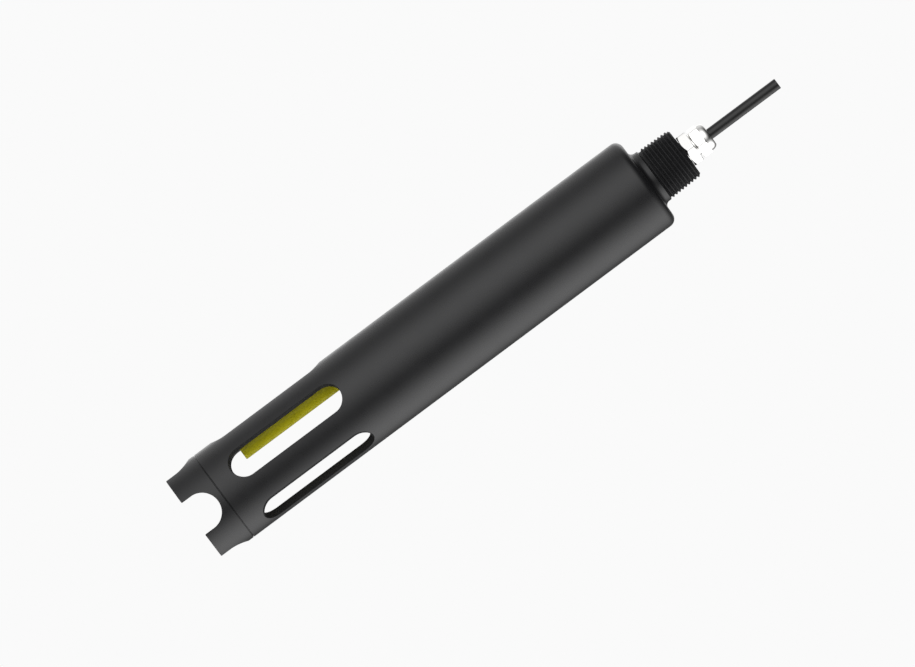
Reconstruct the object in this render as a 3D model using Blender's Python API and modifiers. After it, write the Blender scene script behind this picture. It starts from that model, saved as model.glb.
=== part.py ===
"""Nitrate nitrogen sensor: a slotted probe tube with three electrodes, a screwed-on crown ring,
a tapered pipe thread and a cable gland.

Metres, +Z up. The probe stands on the tips of its crown at Z = 0, with its axis on Z.
"""

import math

import bmesh
import bpy
from mathutils import Vector

MM = 0.001

# Clearances between pieces that touch, slide or screw together
CLEARANCE = 0.3 * MM
SEAL_CLEARANCE = 0.2 * MM

# The outer radius, and the walls inside it
BODY_R = 23.0 * MM
CAGE_WALL = 4.0 * MM
SEAT_WALL = 2.2 * MM
CHAMBER_WALL = 5.7 * MM
CAGE_BORE_R = BODY_R - CAGE_WALL
SPIGOT_SEAT_R = BODY_R - SEAT_WALL
CHAMBER_R = BODY_R - CHAMBER_WALL

# Crown ring
CROWN_HEIGHT = 16.7 * MM
NOTCH_COUNT = 4
NOTCH_WIDTH = 17.8 * MM
NOTCH_DEPTH = 13.9 * MM
NOTCH_ROUNDING = 0.4 * MM
FOOT_ROUNDING = 0.6 * MM
SPIGOT_LENGTH = 7.0 * MM
SPIGOT_WALL = 2.3 * MM
SEAM = 0.5 * MM
SEAM_CHAMFER = 0.3 * MM

# Probe tube
TUBE_LENGTH = 240.1 * MM
SLOT_COUNT = 5
SLOT_WIDTH = 14.4 * MM
SLOT_LENGTH = 61.3 * MM
SLOT_START = 9.6 * MM
SLOT_ROUNDING = 0.8 * MM
FIRST_SLOT_ANGLE = math.radians(178.85)
END_WALL = 12.0 * MM
SHOULDER_ROUNDING = 4.0 * MM

# Neck and tapered pipe thread
NECK_R = 13.4 * MM
NECK_LENGTH = 3.9 * MM
NECK_FILLET = 2.4 * MM
THREAD_R = 13.35 * MM
THREAD_LENGTH = 17.2 * MM
THREAD_PITCH = 1.814 * MM
THREAD_DEPTH = 0.9 * MM
THREAD_CREST = 0.3 * MM
THREAD_ROOT = 0.3 * MM
THREAD_TAPER = 1 / 32

# Electrode holder
HOLDER_SETBACK = 2.6 * MM
HOLDER_LENGTH = 27.3 * MM
HOLDER_CHAMFER = 0.5 * MM
HOLDER_GROOVES = (6.5 * MM, 18.5 * MM)
GROOVE_WIDTH = 2.4 * MM
GROOVE_DEPTH = 1.7 * MM
TONGUE_LENGTH = 24.0 * MM
TONGUE_WIDTH = 16.0 * MM
TONGUE_THICKNESS = 3.5 * MM

# Electrodes
ELECTRODE_R = 5.0 * MM
FLANGE_R = 5.9 * MM
FLANGE_RIM = 0.9 * MM
ELECTRODE_PITCH_R = CAGE_BORE_R - FLANGE_R - FLANGE_RIM
ELECTRODE_REACH = 55.2 * MM
ELECTRODE_CHAMFER = 0.4 * MM
FLANGE_LENGTH = 3.2 * MM
FLANGE_RECESS = 0.5 * MM
O_RING_SETBACK = 12.0 * MM
SHAFT_GROOVE_WIDTH = 1.7 * MM
SHAFT_GROOVE_DEPTH = 1.1 * MM
LEAD_R = 0.6 * MM
LEAD_DEPTH = 5.0 * MM
MEMBRANE_R = 3.3 * MM
MEMBRANE_THICKNESS = 0.9 * MM
JUNCTION_R = 2.2 * MM
JUNCTION_THICKNESS = 1.4 * MM
SHEATH_R = 3.0 * MM
SHEATH_INSERTION = 20.0 * MM
SHEATH_BASE_REACH = 5.0 * MM

# Circuit board and what is on it
BOARD_SETBACK = 10.0 * MM
BOARD_LENGTH = 90.0 * MM
BOARD_EDGE = 3.3 * MM
BOARD_WIDTH = 2 * (CHAMBER_R - BOARD_EDGE)
BOARD_THICKNESS = 1.6 * MM
BOARD_SCREW_R = 1.25 * MM
BOARD_SCREW_LENGTH = 4.2 * MM
BOARD_SCREW_HEAD_R = 2.6 * MM
BOARD_SCREW_HEAD = 1.6 * MM
BOARD_SCREW_TOP_R = 1.8 * MM
BOARD_SCREW_RIM = 0.8 * MM
BOARD_SCREW_SPACING = 10.0 * MM
BOARD_SCREW_HEIGHT = 7.0 * MM
CONNECTOR_SIZE = (9.0 * MM, 6.0 * MM, 8.0 * MM)
CONNECTOR_WALL = 1.0 * MM
CONNECTOR_ENTRY = 4.4 * MM
CONNECTOR_HEIGHT = 18.0 * MM
CABLE_CONNECTOR_SIZE = (12.0 * MM, 6.0 * MM, 8.0 * MM)
CABLE_CONNECTOR_SETBACK = 16.0 * MM
CABLE_CONNECTOR_HEIGHT = BOARD_LENGTH - CABLE_CONNECTOR_SETBACK
SUPPORT_THICKNESS = 4.0 * MM
SUPPORT_SETBACK = 5.5 * MM
SUPPORT_HEIGHT = BOARD_LENGTH - SUPPORT_SETBACK
SUPPORT_WINDOW = (13.0 * MM, 9.0 * MM)
PROCESSOR_DROP = 1.0 * MM
TRANSCEIVER_SETBACK = 28.0 * MM
# Each chip's width, thickness and length, and its height up the board
CHIPS = {
    "amplifier_chip": ((10.0 * MM, 1.8 * MM, 6.0 * MM), 32.0 * MM),
    "processor_chip": ((12.0 * MM, 1.4 * MM, 12.0 * MM), BOARD_LENGTH / 2 - PROCESSOR_DROP),
    "transceiver_chip": ((6.0 * MM, 1.6 * MM, 8.0 * MM), BOARD_LENGTH - TRANSCEIVER_SETBACK),
}
CHIP_BEVEL = 0.3 * MM
CAPACITOR_R = 4.0 * MM
CAPACITOR_LENGTH = 8.0 * MM
CAPACITOR_EDGE = 0.4 * MM
CAPACITOR_RISE = 5.0 * MM
CAPACITOR_HEIGHT = BOARD_LENGTH / 2 + CAPACITOR_RISE

# Cable gland
GLAND_BORE_R = 6.0 * MM
GLAND_THREAD_LENGTH = 10.0 * MM
SPOT_FACE_DEPTH = 1.0 * MM
GASKET_THICKNESS = 1.0 * MM
GASKET_R = 7.6 * MM
BODY_HEX = 15.3 * MM
BODY_HEX_HEIGHT = 4.8 * MM
BODY_HEX_CHAMFER = 1.0 * MM
NECK_THREAD_R = 5.6 * MM
NECK_THREAD_LENGTH = 5.2 * MM
GLAND_SEAT_R = 4.85 * MM
GLAND_SEAT_DEPTH = 4.4 * MM
NUT_GAP = 0.7 * MM
NUT_HEX = 13.7 * MM
NUT_HEX_HEIGHT = 5.0 * MM
NUT_DOME_HEIGHT = 3.0 * MM
NUT_MOUTH_R = 5.0 * MM
HEX_CHAMFER = 0.5 * MM
CLAW_WALL = 0.7 * MM
CLAW_LENGTH = 4.6 * MM
CLAW_FINGERS = 6
CLAW_SLOT = 0.5 * MM
SEAL_WALL = 0.75 * MM
SEAL_LENGTH = 4.0 * MM

# Cable
CABLE_R = 2.6 * MM
CABLE_FREE_LENGTH = 39.0 * MM
CABLE_START_DEPTH = 0.3 * MM
CORE_RUN = 23.0 * MM
CABLE_POINTS = 6
CORE_R = 0.55 * MM
CORE_CIRCLE_R = 1.35 * MM
CORE_SPACING = 2.6 * MM
# Each core's colour, and its angle in the cable in degrees
CORES = {
    "red": ((0.45, 0.02, 0.02), 180),
    "black": ((0.01, 0.01, 0.01), 270),
    "yellow": ((0.60, 0.45, 0.03), 90),
    "blue": ((0.02, 0.06, 0.35), 0),
}

# Heights worked out from the sizes above
TUBE_FRONT = CROWN_HEIGHT + SEAM
SHOULDER_Z = TUBE_FRONT + TUBE_LENGTH
THREAD_START = SHOULDER_Z + NECK_LENGTH
TUBE_END = THREAD_START + THREAD_LENGTH
HOLDER_FRONT = TUBE_FRONT + SLOT_START + SLOT_LENGTH + HOLDER_SETBACK
HOLDER_REAR = HOLDER_FRONT + HOLDER_LENGTH
ELECTRODE_TIP = HOLDER_FRONT - ELECTRODE_REACH
ELECTRODE_REAR = HOLDER_REAR - FLANGE_RECESS
BOARD_START = HOLDER_REAR + BOARD_SETBACK
GASKET_Z = TUBE_END - SPOT_FACE_DEPTH + SEAL_CLEARANCE
GLAND_FLANGE_Z = GASKET_Z + GASKET_THICKNESS + SEAL_CLEARANCE
BODY_HEX_CORNER_R = BODY_HEX / 2 / math.cos(math.pi / 6)
NUT_BASE = GLAND_FLANGE_Z + BODY_HEX_HEIGHT + NUT_GAP
NUT_MOUTH_Z = NUT_BASE + NUT_HEX_HEIGHT + NUT_DOME_HEIGHT
CABLE_START = NUT_MOUTH_Z - CABLE_START_DEPTH
CROWN_GROOVE_Z = TUBE_FRONT + SHAFT_GROOVE_WIDTH

# Facets of round pieces, and points along a bent wire
TUBE_STEPS = 32
THREAD_STEPS = 24
SHAFT_STEPS = 16
GLAND_STEPS = 24
SEAL_STEPS = 24
SEAL_SIDES = 5
NUT_DOME_STEPS = 4
WIRE_POINTS = 8
CUTTER_REACH = 5.0 * MM
SMOOTH_ANGLE = math.radians(30)
FULL_TURN = 2 * math.pi


def clear_scene():
    for old in list(bpy.data.objects):
        bpy.data.objects.remove(old, do_unlink=True)


def new_collection(name):
    made = bpy.data.collections.new(name)
    bpy.context.scene.collection.children.link(made)
    return made


def make_material(name, colour, roughness, metallic=0.0):
    made = bpy.data.materials.new(name)
    made.use_nodes = True
    shader = made.node_tree.nodes["Principled BSDF"]
    shader.inputs["Base Color"].default_value = (*colour, 1.0)
    shader.inputs["Roughness"].default_value = roughness
    shader.inputs["Metallic"].default_value = metallic
    return made


clear_scene()
PARTS = new_collection("nitrate_nitrogen_sensor")
CUTTERS = new_collection("cutters")

BLACK_PLASTIC = make_material("black_plastic", (0.012, 0.012, 0.013), 0.35)
BLACK_RUBBER = make_material("black_rubber", (0.01, 0.01, 0.01), 0.7)
HOLDER_PLASTIC = make_material("holder_plastic", (0.03, 0.03, 0.032), 0.5)
OLIVE_PLASTIC = make_material("olive_plastic", (0.30, 0.27, 0.02), 0.35)
MEMBRANE = make_material("membrane", (0.12, 0.10, 0.03), 0.25)
WHITE_PLASTIC = make_material("white_plastic", (0.75, 0.74, 0.70), 0.4)
CERAMIC = make_material("ceramic", (0.80, 0.78, 0.72), 0.8)
STEEL = make_material("stainless_steel", (0.60, 0.60, 0.60), 0.25, 1.0)
NICKEL = make_material("nickel_plate", (0.70, 0.68, 0.64), 0.22, 1.0)
NYLON = make_material("white_nylon", (0.70, 0.70, 0.66), 0.5)
BOARD_GREEN = make_material("board_green", (0.02, 0.15, 0.06), 0.4)
CHIP_BLACK = make_material("chip_black", (0.02, 0.02, 0.02), 0.5)
CONNECTOR_WHITE = make_material("connector_white", (0.70, 0.70, 0.65), 0.5)


def move_to(obj, collection):
    for holder in list(obj.users_collection):
        holder.objects.unlink(obj)
    collection.objects.link(obj)


def dress(obj, material):
    """Puts a piece in the parts collection, with its material and smooth round faces."""
    move_to(obj, PARTS)
    obj.data.materials.clear()
    obj.data.materials.append(material)
    obj.data.shade_smooth()
    obj.data.set_sharp_from_angle(angle=SMOOTH_ANGLE)
    return obj


def as_cutter(obj):
    move_to(obj, CUTTERS)
    obj.hide_render = True
    obj.display_type = "WIRE"
    return obj


def turn(obj, steps):
    """Spins the object's profile round Z."""
    screw = obj.modifiers.new("Turn", "SCREW")
    screw.axis = "Z"
    screw.angle = FULL_TURN
    screw.steps = steps
    screw.render_steps = steps
    screw.use_merge_vertices = True
    screw.merge_threshold = 0.000001
    return obj


def turned(name, profile, material, steps, closed=True, z=0.0):
    """A turned piece. The profile's (radius, height) points run down its outer side.

    A closed profile is a ring's section, and an open one starts and ends on the axis.
    """
    mesh = bpy.data.meshes.new(name)
    points = [(radius, 0.0, height) for radius, height in profile]
    edges = [(i, i + 1) for i in range(len(points) - 1)]
    if closed:
        edges.append((len(points) - 1, 0))
    mesh.from_pydata(points, edges, [])
    obj = bpy.data.objects.new(name, mesh)
    PARTS.objects.link(obj)
    turn(obj, steps)
    obj.location.z = z
    bake(obj)
    return dress(obj, material)


def arc(centre_r, centre_z, radius, start, end, count):
    """Points of an arc in a profile, from one angle to another in degrees."""
    points = []
    for i in range(count + 1):
        angle = math.radians(start + (end - start) * i / count)
        points.append((centre_r + radius * math.cos(angle), centre_z + radius * math.sin(angle)))
    return points


def bake(obj):
    """Replaces the object's mesh with what its modifiers make of it, facing out."""
    bpy.context.view_layer.update()
    graph = bpy.context.evaluated_depsgraph_get()
    mesh = bpy.data.meshes.new_from_object(obj.evaluated_get(graph))
    obj.modifiers.clear()
    obj.data = mesh
    shape = bmesh.new()
    shape.from_mesh(mesh)
    bmesh.ops.recalc_face_normals(shape, faces=shape.faces)
    shape.to_mesh(mesh)
    shape.free()
    return obj


def combine(obj, tool, operation):
    boolean = obj.modifiers.new(tool.name, "BOOLEAN")
    boolean.operation = operation
    boolean.solver = "EXACT"
    boolean.object = tool


def rod(name, radius, length, location, axis="Z", steps=SHAFT_STEPS):
    """A plain round cutter, centred on a point."""
    bpy.ops.mesh.primitive_cylinder_add(
        vertices=steps, radius=radius, depth=length, location=location
    )
    obj = bpy.context.active_object
    obj.name = name
    if axis == "Y":
        obj.rotation_euler.x = math.pi / 2
    return as_cutter(obj)


def block(name, size, location):
    """A box of a given size, centred on a point, with its scale applied."""
    bpy.ops.mesh.primitive_cube_add(size=1.0, location=location)
    obj = bpy.context.active_object
    obj.name = name
    for vertex in obj.data.vertices:
        vertex.co = Vector(a * b for a, b in zip(vertex.co, size))
    return obj


def hexagon(name, across_flats, low, high):
    """A hexagon bar cutter with one corner towards -Y."""
    bpy.ops.mesh.primitive_cylinder_add(
        vertices=6,
        radius=across_flats / 2 / math.cos(math.pi / 6),
        depth=high - low,
        location=(0, 0, (low + high) / 2),
    )
    obj = bpy.context.active_object
    obj.name = name
    return as_cutter(obj)


def ring_seal(name, radius, section_r, z, location=(0, 0), steps=SEAL_STEPS):
    """An O-ring whose section centre runs at a given radius."""
    bpy.ops.mesh.primitive_torus_add(
        major_radius=radius,
        minor_radius=section_r,
        major_segments=steps,
        minor_segments=SEAL_SIDES,
        location=(location[0], location[1], z),
    )
    obj = bpy.context.active_object
    obj.name = name
    return dress(obj, BLACK_RUBBER)


def grown(outline, width):
    """A closed outline moved out along its own normals; it runs counterclockwise."""
    moved = []
    for i, (u, v) in enumerate(outline):
        before = Vector(outline[i - 1])
        after = Vector(outline[(i + 1) % len(outline)])
        along = (after - before).normalized()
        moved.append((u + along.y * width, v - along.x * width))
    return moved


def window_cutter(name, outline, inner_r, outer_r, rounding, angle):
    """Cuts a window through a round wall and rounds its edges inside and outside.

    The outline's points are (distance across, height). Each section of the cutter lies on a
    cylinder round Z, and grows towards the wall's two faces as a fillet does.
    """
    sections = []
    for turn_by in (60, 0):
        bend = math.radians(turn_by)
        grow = rounding * (1 - math.cos(bend))
        depth = rounding * (1 - math.sin(bend))
        sections.append((depth, grow))
    slope = math.tan(math.radians(60))
    margin = rounding / 3
    past = (-margin, sections[0][1] + (sections[0][0] + margin) * slope)
    sections.insert(0, past)
    levels = [(inner_r + depth, grow) for depth, grow in sections]
    levels += [(outer_r - depth, grow) for depth, grow in reversed(sections)]
    levels.append((outer_r + CUTTER_REACH, past[1]))

    shape = bmesh.new()
    previous = None
    for radius, grow in levels:
        ring = []
        for u, v in grown(outline, grow):
            ring.append(shape.verts.new((math.sqrt(radius * radius - u * u), u, v)))
        if previous is None:
            shape.faces.new(ring)
        else:
            for i in range(len(ring)):
                k = (i + 1) % len(ring)
                shape.faces.new((previous[i], previous[k], ring[k], ring[i]))
        previous = ring
    shape.faces.new(previous)
    bmesh.ops.recalc_face_normals(shape, faces=shape.faces)
    mesh = bpy.data.meshes.new(name)
    shape.to_mesh(mesh)
    shape.free()
    obj = bpy.data.objects.new(name, mesh)
    obj.rotation_euler.z = angle
    CUTTERS.objects.link(obj)
    return as_cutter(obj)


def crown_profile():
    """The ring's section: outside, tips, bore, spigot and the spigot's O-ring groove."""
    spigot_r = SPIGOT_SEAT_R - CLEARANCE
    bore_r = spigot_r - SPIGOT_WALL
    spigot_top = TUBE_FRONT + SPIGOT_LENGTH
    step = CAGE_BORE_R - bore_r
    tip = NOTCH_ROUNDING
    return [
        (BODY_R, CROWN_HEIGHT - SEAM_CHAMFER),
        *arc(BODY_R - tip, tip, tip, 0, -90, 2),
        *arc(CAGE_BORE_R + tip, tip, tip, -90, -180, 2),
        (CAGE_BORE_R, CROWN_HEIGHT - step - SEAM_CHAMFER),
        (bore_r, CROWN_HEIGHT - SEAM_CHAMFER),
        (bore_r, spigot_top),
        (spigot_r - HOLDER_CHAMFER, spigot_top),
        (spigot_r, spigot_top - HOLDER_CHAMFER),
        (spigot_r, CROWN_GROOVE_Z + SHAFT_GROOVE_WIDTH / 2),
        (spigot_r - SHAFT_GROOVE_DEPTH, CROWN_GROOVE_Z + SHAFT_GROOVE_WIDTH / 2),
        (spigot_r - SHAFT_GROOVE_DEPTH, CROWN_GROOVE_Z - SHAFT_GROOVE_WIDTH / 2),
        (spigot_r, CROWN_GROOVE_Z - SHAFT_GROOVE_WIDTH / 2),
        (spigot_r, CROWN_HEIGHT),
        (BODY_R - SEAM_CHAMFER, CROWN_HEIGHT),
    ]


def notch_outline():
    """A U notch that flares at the tips and opens downwards."""
    half = NOTCH_WIDTH / 2
    centre = NOTCH_DEPTH - half
    flare = arc(half + FOOT_ROUNDING, FOOT_ROUNDING, FOOT_ROUNDING, 240, 180, 2)
    foot = (flare[0][0] + 2 * FOOT_ROUNDING, -FOOT_ROUNDING)
    right = [foot] + flare
    left = [(-u, v) for u, v in reversed(right)]
    return right + arc(0.0, centre, half, 0, 180, 8) + left


def make_crown():
    """The screwed-on guard ring with four U notches."""
    crown = turned("crown_ring", crown_profile(), BLACK_PLASTIC, TUBE_STEPS)
    for i in range(NOTCH_COUNT):
        angle = FULL_TURN * i / NOTCH_COUNT
        notch = window_cutter(
            f"notch_{i}", notch_outline(), CAGE_BORE_R, BODY_R, NOTCH_ROUNDING, angle
        )
        combine(crown, notch, "DIFFERENCE")
    bake(crown)
    dress(crown, BLACK_PLASTIC)

    groove_r = SPIGOT_SEAT_R - CLEARANCE - SHAFT_GROOVE_DEPTH
    section_r = (SPIGOT_SEAT_R - groove_r) / 2 - SEAL_CLEARANCE
    ring_seal("crown_o_ring", (SPIGOT_SEAT_R + groove_r) / 2, section_r, CROWN_GROOVE_Z)


def tube_profile():
    """The tube's section, measured from its front end: thread core, neck, shoulder, bore."""
    shoulder = TUBE_LENGTH
    thread_start = shoulder + NECK_LENGTH
    end = thread_start + THREAD_LENGTH
    root_start = THREAD_R - THREAD_DEPTH
    root_end = root_start - THREAD_LENGTH * THREAD_TAPER
    seat = SPIGOT_LENGTH + CLEARANCE
    stop = HOLDER_REAR + CLEARANCE - TUBE_FRONT
    chamber_end = shoulder - END_WALL
    cone = CHAMBER_R - GLAND_BORE_R
    profile = [(root_end - THREAD_CREST, end), (root_end, end - THREAD_CREST)]
    profile += [(root_start, thread_start + THREAD_CREST)]
    profile += [(NECK_R, thread_start - THREAD_CREST)]
    profile += arc(NECK_R + NECK_FILLET, shoulder + NECK_FILLET, NECK_FILLET, 180, 270, 2)
    corner_r = BODY_R - SHOULDER_ROUNDING
    profile += arc(corner_r, shoulder - SHOULDER_ROUNDING, SHOULDER_ROUNDING, 90, 0, 4)
    profile += [(BODY_R, SEAM_CHAMFER), (BODY_R - SEAM_CHAMFER, 0.0)]
    profile += [(SPIGOT_SEAT_R, 0.0), (SPIGOT_SEAT_R, seat), (CAGE_BORE_R, seat)]
    profile += [(CAGE_BORE_R, stop), (CHAMBER_R, stop), (CHAMBER_R, chamber_end)]
    spot_r = BODY_HEX_CORNER_R + CLEARANCE
    spot = end - SPOT_FACE_DEPTH
    profile += [(GLAND_BORE_R, chamber_end + cone / 2), (GLAND_BORE_R, spot)]
    profile += [(spot_r, spot), (spot_r, end)]
    return profile


def slot_outline():
    """A long slot with round ends, measured from the tube's front end."""
    half = SLOT_WIDTH / 2
    low = SLOT_START + half
    high = SLOT_START + SLOT_LENGTH - half
    return arc(0.0, high, half, 0, 180, 8) + arc(0.0, low, half, 180, 360, 8)


def thread_ridge():
    """The raised helix of the tapered thread, which fades in and out at its two ends."""
    ridge = bmesh.new()
    base_half = (THREAD_PITCH - THREAD_ROOT) / 2
    crest_half = THREAD_CREST / 2
    first = TUBE_LENGTH + NECK_LENGTH + base_half
    last = TUBE_LENGTH + NECK_LENGTH + THREAD_LENGTH - base_half - THREAD_CREST
    rings = int((last - first) / THREAD_PITCH * THREAD_STEPS)
    fade = THREAD_STEPS // 4
    sunk = THREAD_CREST
    previous = None
    for i in range(rings + 1):
        height = first + THREAD_PITCH * i / THREAD_STEPS
        angle = FULL_TURN * i / THREAD_STEPS
        root_r = THREAD_R - THREAD_DEPTH - (height - TUBE_LENGTH - NECK_LENGTH) * THREAD_TAPER
        share = min(1.0, (i + 1) / fade, (rings + 1 - i) / fade)
        crest_r = root_r + THREAD_DEPTH * share
        section = [
            (root_r - sunk, height - base_half),
            (crest_r, height - crest_half),
            (crest_r, height + crest_half),
            (root_r - sunk, height + base_half),
        ]
        ring = [
            ridge.verts.new((r * math.cos(angle), r * math.sin(angle), z)) for r, z in section
        ]
        if previous is None:
            ridge.faces.new(ring)
        else:
            for j in range(4):
                k = (j + 1) % 4
                ridge.faces.new((previous[j], previous[k], ring[k], ring[j]))
        previous = ring
    ridge.faces.new(reversed(previous))
    bmesh.ops.recalc_face_normals(ridge, faces=ridge.faces)
    mesh = bpy.data.meshes.new("thread_ridge")
    ridge.to_mesh(mesh)
    ridge.free()
    obj = bpy.data.objects.new("thread_ridge", mesh)
    CUTTERS.objects.link(obj)
    return as_cutter(obj)


def make_tube():
    """The probe tube: slotted cage, electronics chamber, shoulder and tapered thread."""
    tube = turned("sensor_tube", tube_profile(), BLACK_PLASTIC, TUBE_STEPS)
    for i in range(SLOT_COUNT):
        angle = FULL_TURN * i / SLOT_COUNT
        slot = window_cutter(
            f"slot_{i}", slot_outline(), CAGE_BORE_R, BODY_R, SLOT_ROUNDING, angle
        )
        combine(tube, slot, "DIFFERENCE")
    combine(tube, thread_ridge(), "UNION")
    bake(tube)
    tube.location.z = TUBE_FRONT
    tube.rotation_euler.z = FIRST_SLOT_ANGLE
    dress(tube, BLACK_PLASTIC)


def electrode_places():
    """The three electrodes' axes, the first of them at -X."""
    angles = [math.pi + FULL_TURN * i / 3 for i in range(3)]
    return [
        (ELECTRODE_PITCH_R * math.cos(angle), ELECTRODE_PITCH_R * math.sin(angle))
        for angle in angles
    ]


def holder_profile():
    """The bulkhead's section with its two O-ring grooves, from its front face."""
    outer = CAGE_BORE_R - CLEARANCE
    floor = outer - GROOVE_DEPTH
    profile = [(0.0, HOLDER_LENGTH), (outer - HOLDER_CHAMFER, HOLDER_LENGTH)]
    profile += [(outer, HOLDER_LENGTH - HOLDER_CHAMFER)]
    for groove in reversed(HOLDER_GROOVES):
        high = groove + GROOVE_WIDTH / 2
        low = groove - GROOVE_WIDTH / 2
        profile += [(outer, high), (floor, high), (floor, low), (outer, low)]
    profile += [(outer, HOLDER_CHAMFER), (outer - HOLDER_CHAMFER, 0.0), (0.0, 0.0)]
    return profile


def make_holder():
    """The bulkhead with three stepped bores, and the tongue that carries the board."""
    holder = turned(
        "electrode_holder", holder_profile(), HOLDER_PLASTIC, TUBE_STEPS, False, HOLDER_FRONT
    )
    tongue_y = BOARD_THICKNESS / 2 + CLEARANCE + TONGUE_THICKNESS / 2
    root = HOLDER_LENGTH / 2
    tongue = block(
        "tongue",
        (TONGUE_WIDTH, TONGUE_THICKNESS, TONGUE_LENGTH + root),
        (0.0, tongue_y, HOLDER_REAR + (TONGUE_LENGTH - root) / 2),
    )
    combine(holder, as_cutter(tongue), "UNION")
    counterbore_low = ELECTRODE_REAR - FLANGE_LENGTH - CLEARANCE
    counterbore_high = HOLDER_REAR + CLEARANCE
    counterbore_length = counterbore_high - counterbore_low
    middle = (HOLDER_FRONT + HOLDER_REAR) / 2
    for i, (x, y) in enumerate(electrode_places()):
        bore = rod(f"bore_{i}", ELECTRODE_R + CLEARANCE, 2 * HOLDER_LENGTH, (x, y, middle))
        combine(holder, bore, "DIFFERENCE")
        seat_z = (counterbore_low + counterbore_high) / 2
        seat = rod(f"seat_{i}", FLANGE_R + CLEARANCE, counterbore_length, (x, y, seat_z))
        combine(holder, seat, "DIFFERENCE")
    for i, x in enumerate(board_screw_places()):
        hole = rod(
            f"tongue_hole_{i}",
            BOARD_SCREW_R + CLEARANCE,
            4 * TONGUE_THICKNESS,
            (x, tongue_y, BOARD_START + BOARD_SCREW_HEIGHT),
            "Y",
        )
        combine(holder, hole, "DIFFERENCE")
    bake(holder)
    dress(holder, HOLDER_PLASTIC)

    outer = CAGE_BORE_R - CLEARANCE
    floor = outer - GROOVE_DEPTH
    section_r = (CAGE_BORE_R - floor) / 2 - SEAL_CLEARANCE
    for name, groove in zip(("front", "rear"), HOLDER_GROOVES):
        ring_seal(
            f"holder_o_ring_{name}", (CAGE_BORE_R + floor) / 2, section_r, HOLDER_FRONT + groove
        )


def board_screw_places():
    return (-BOARD_SCREW_SPACING / 2, BOARD_SCREW_SPACING / 2)


def shaft_top_profile():
    """The rear of an electrode: lead hole, flange and O-ring groove, heights from its rear end."""
    hole_r = LEAD_R + CLEARANCE
    groove = -O_RING_SETBACK
    floor = ELECTRODE_R - SHAFT_GROOVE_DEPTH
    return [
        (0.0, -LEAD_DEPTH),
        (hole_r, -LEAD_DEPTH),
        (hole_r, 0.0),
        (FLANGE_R, 0.0),
        (FLANGE_R, -FLANGE_LENGTH),
        (ELECTRODE_R, -FLANGE_LENGTH),
        (ELECTRODE_R, groove + SHAFT_GROOVE_WIDTH / 2),
        (floor, groove + SHAFT_GROOVE_WIDTH / 2),
        (floor, groove - SHAFT_GROOVE_WIDTH / 2),
        (ELECTRODE_R, groove - SHAFT_GROOVE_WIDTH / 2),
    ]


def shaft_seal(name, place):
    floor = ELECTRODE_R - SHAFT_GROOVE_DEPTH
    bore = ELECTRODE_R + CLEARANCE
    section_r = (bore - floor) / 2 - SEAL_CLEARANCE
    z = ELECTRODE_REAR - O_RING_SETBACK
    ring_seal(name, (bore + floor) / 2, section_r, z, place, SHAFT_STEPS)


def make_tipped_electrode(name, material, place, tip_name, tip_material, tip_r, tip_thickness):
    """A round electrode whose tip holds a flush disc, and its O-ring."""
    length = ELECTRODE_REAR - ELECTRODE_TIP
    recess_r = tip_r + CLEARANCE
    recess = tip_thickness + CLEARANCE
    profile = shaft_top_profile() + [
        (ELECTRODE_R, ELECTRODE_CHAMFER - length),
        (ELECTRODE_R - ELECTRODE_CHAMFER, -length),
        (recess_r, -length),
        (recess_r, recess - length),
        (0.0, recess - length),
    ]
    shaft = turned(name, profile, material, SHAFT_STEPS, False, ELECTRODE_REAR)
    shaft.location.xy = place
    disc_profile = [
        (0.0, tip_thickness),
        (tip_r, tip_thickness),
        (tip_r, 0.0),
        (0.0, 0.0),
    ]
    disc = turned(tip_name, disc_profile, tip_material, SHAFT_STEPS, False, ELECTRODE_TIP)
    disc.location.xy = place
    shaft_seal(name.split("_")[0] + "_o_ring", place)


def make_temperature_probe(place):
    """A steel sheath with a round tip, held in a plastic base."""
    base_low = HOLDER_FRONT - SHEATH_BASE_REACH - ELECTRODE_REAR
    socket_top = base_low + SHEATH_INSERTION
    socket_r = SHEATH_R + CLEARANCE
    profile = shaft_top_profile() + [
        (ELECTRODE_R, base_low + ELECTRODE_CHAMFER),
        (ELECTRODE_R - ELECTRODE_CHAMFER, base_low),
        (socket_r, base_low),
        (socket_r, socket_top),
        (0.0, socket_top),
    ]
    base = turned("temperature_base", profile, HOLDER_PLASTIC, SHAFT_STEPS, False, ELECTRODE_REAR)
    base.location.xy = place
    sheath_top = ELECTRODE_REAR + socket_top - CLEARANCE - ELECTRODE_TIP
    sheath_profile = [(0.0, sheath_top), (SHEATH_R, sheath_top)]
    sheath_profile += arc(0.0, SHEATH_R, SHEATH_R, 0, -90, 6)
    sheath_profile[-1] = (0.0, 0.0)
    sheath = turned(
        "temperature_sheath", sheath_profile, STEEL, SHAFT_STEPS, False, ELECTRODE_TIP
    )
    sheath.location.xy = place
    shaft_seal("temperature_o_ring", place)


def bezier_route(start, end, leave, arrive):
    """Points of one smooth curve between two ends, from their two handles."""
    route = []
    for i in range(WIRE_POINTS + 1):
        t = i / WIRE_POINTS
        s = 1 - t
        route.append(start * s**3 + leave * 3 * s * s * t + arrive * 3 * s * t * t + end * t**3)
    return route


def wire(name, route, radius, material):
    """A round wire along a route, with flat ends."""
    curve = bpy.data.curves.new(name, "CURVE")
    curve.dimensions = "3D"
    curve.bevel_depth = radius
    curve.bevel_resolution = 2
    curve.use_fill_caps = True
    curve.materials.append(material)
    spline = curve.splines.new("POLY")
    spline.points.add(len(route) - 1)
    for point, place in zip(spline.points, route):
        point.co = (*place, 1.0)
    obj = bpy.data.objects.new(name, curve)
    PARTS.objects.link(obj)
    return obj


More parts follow.
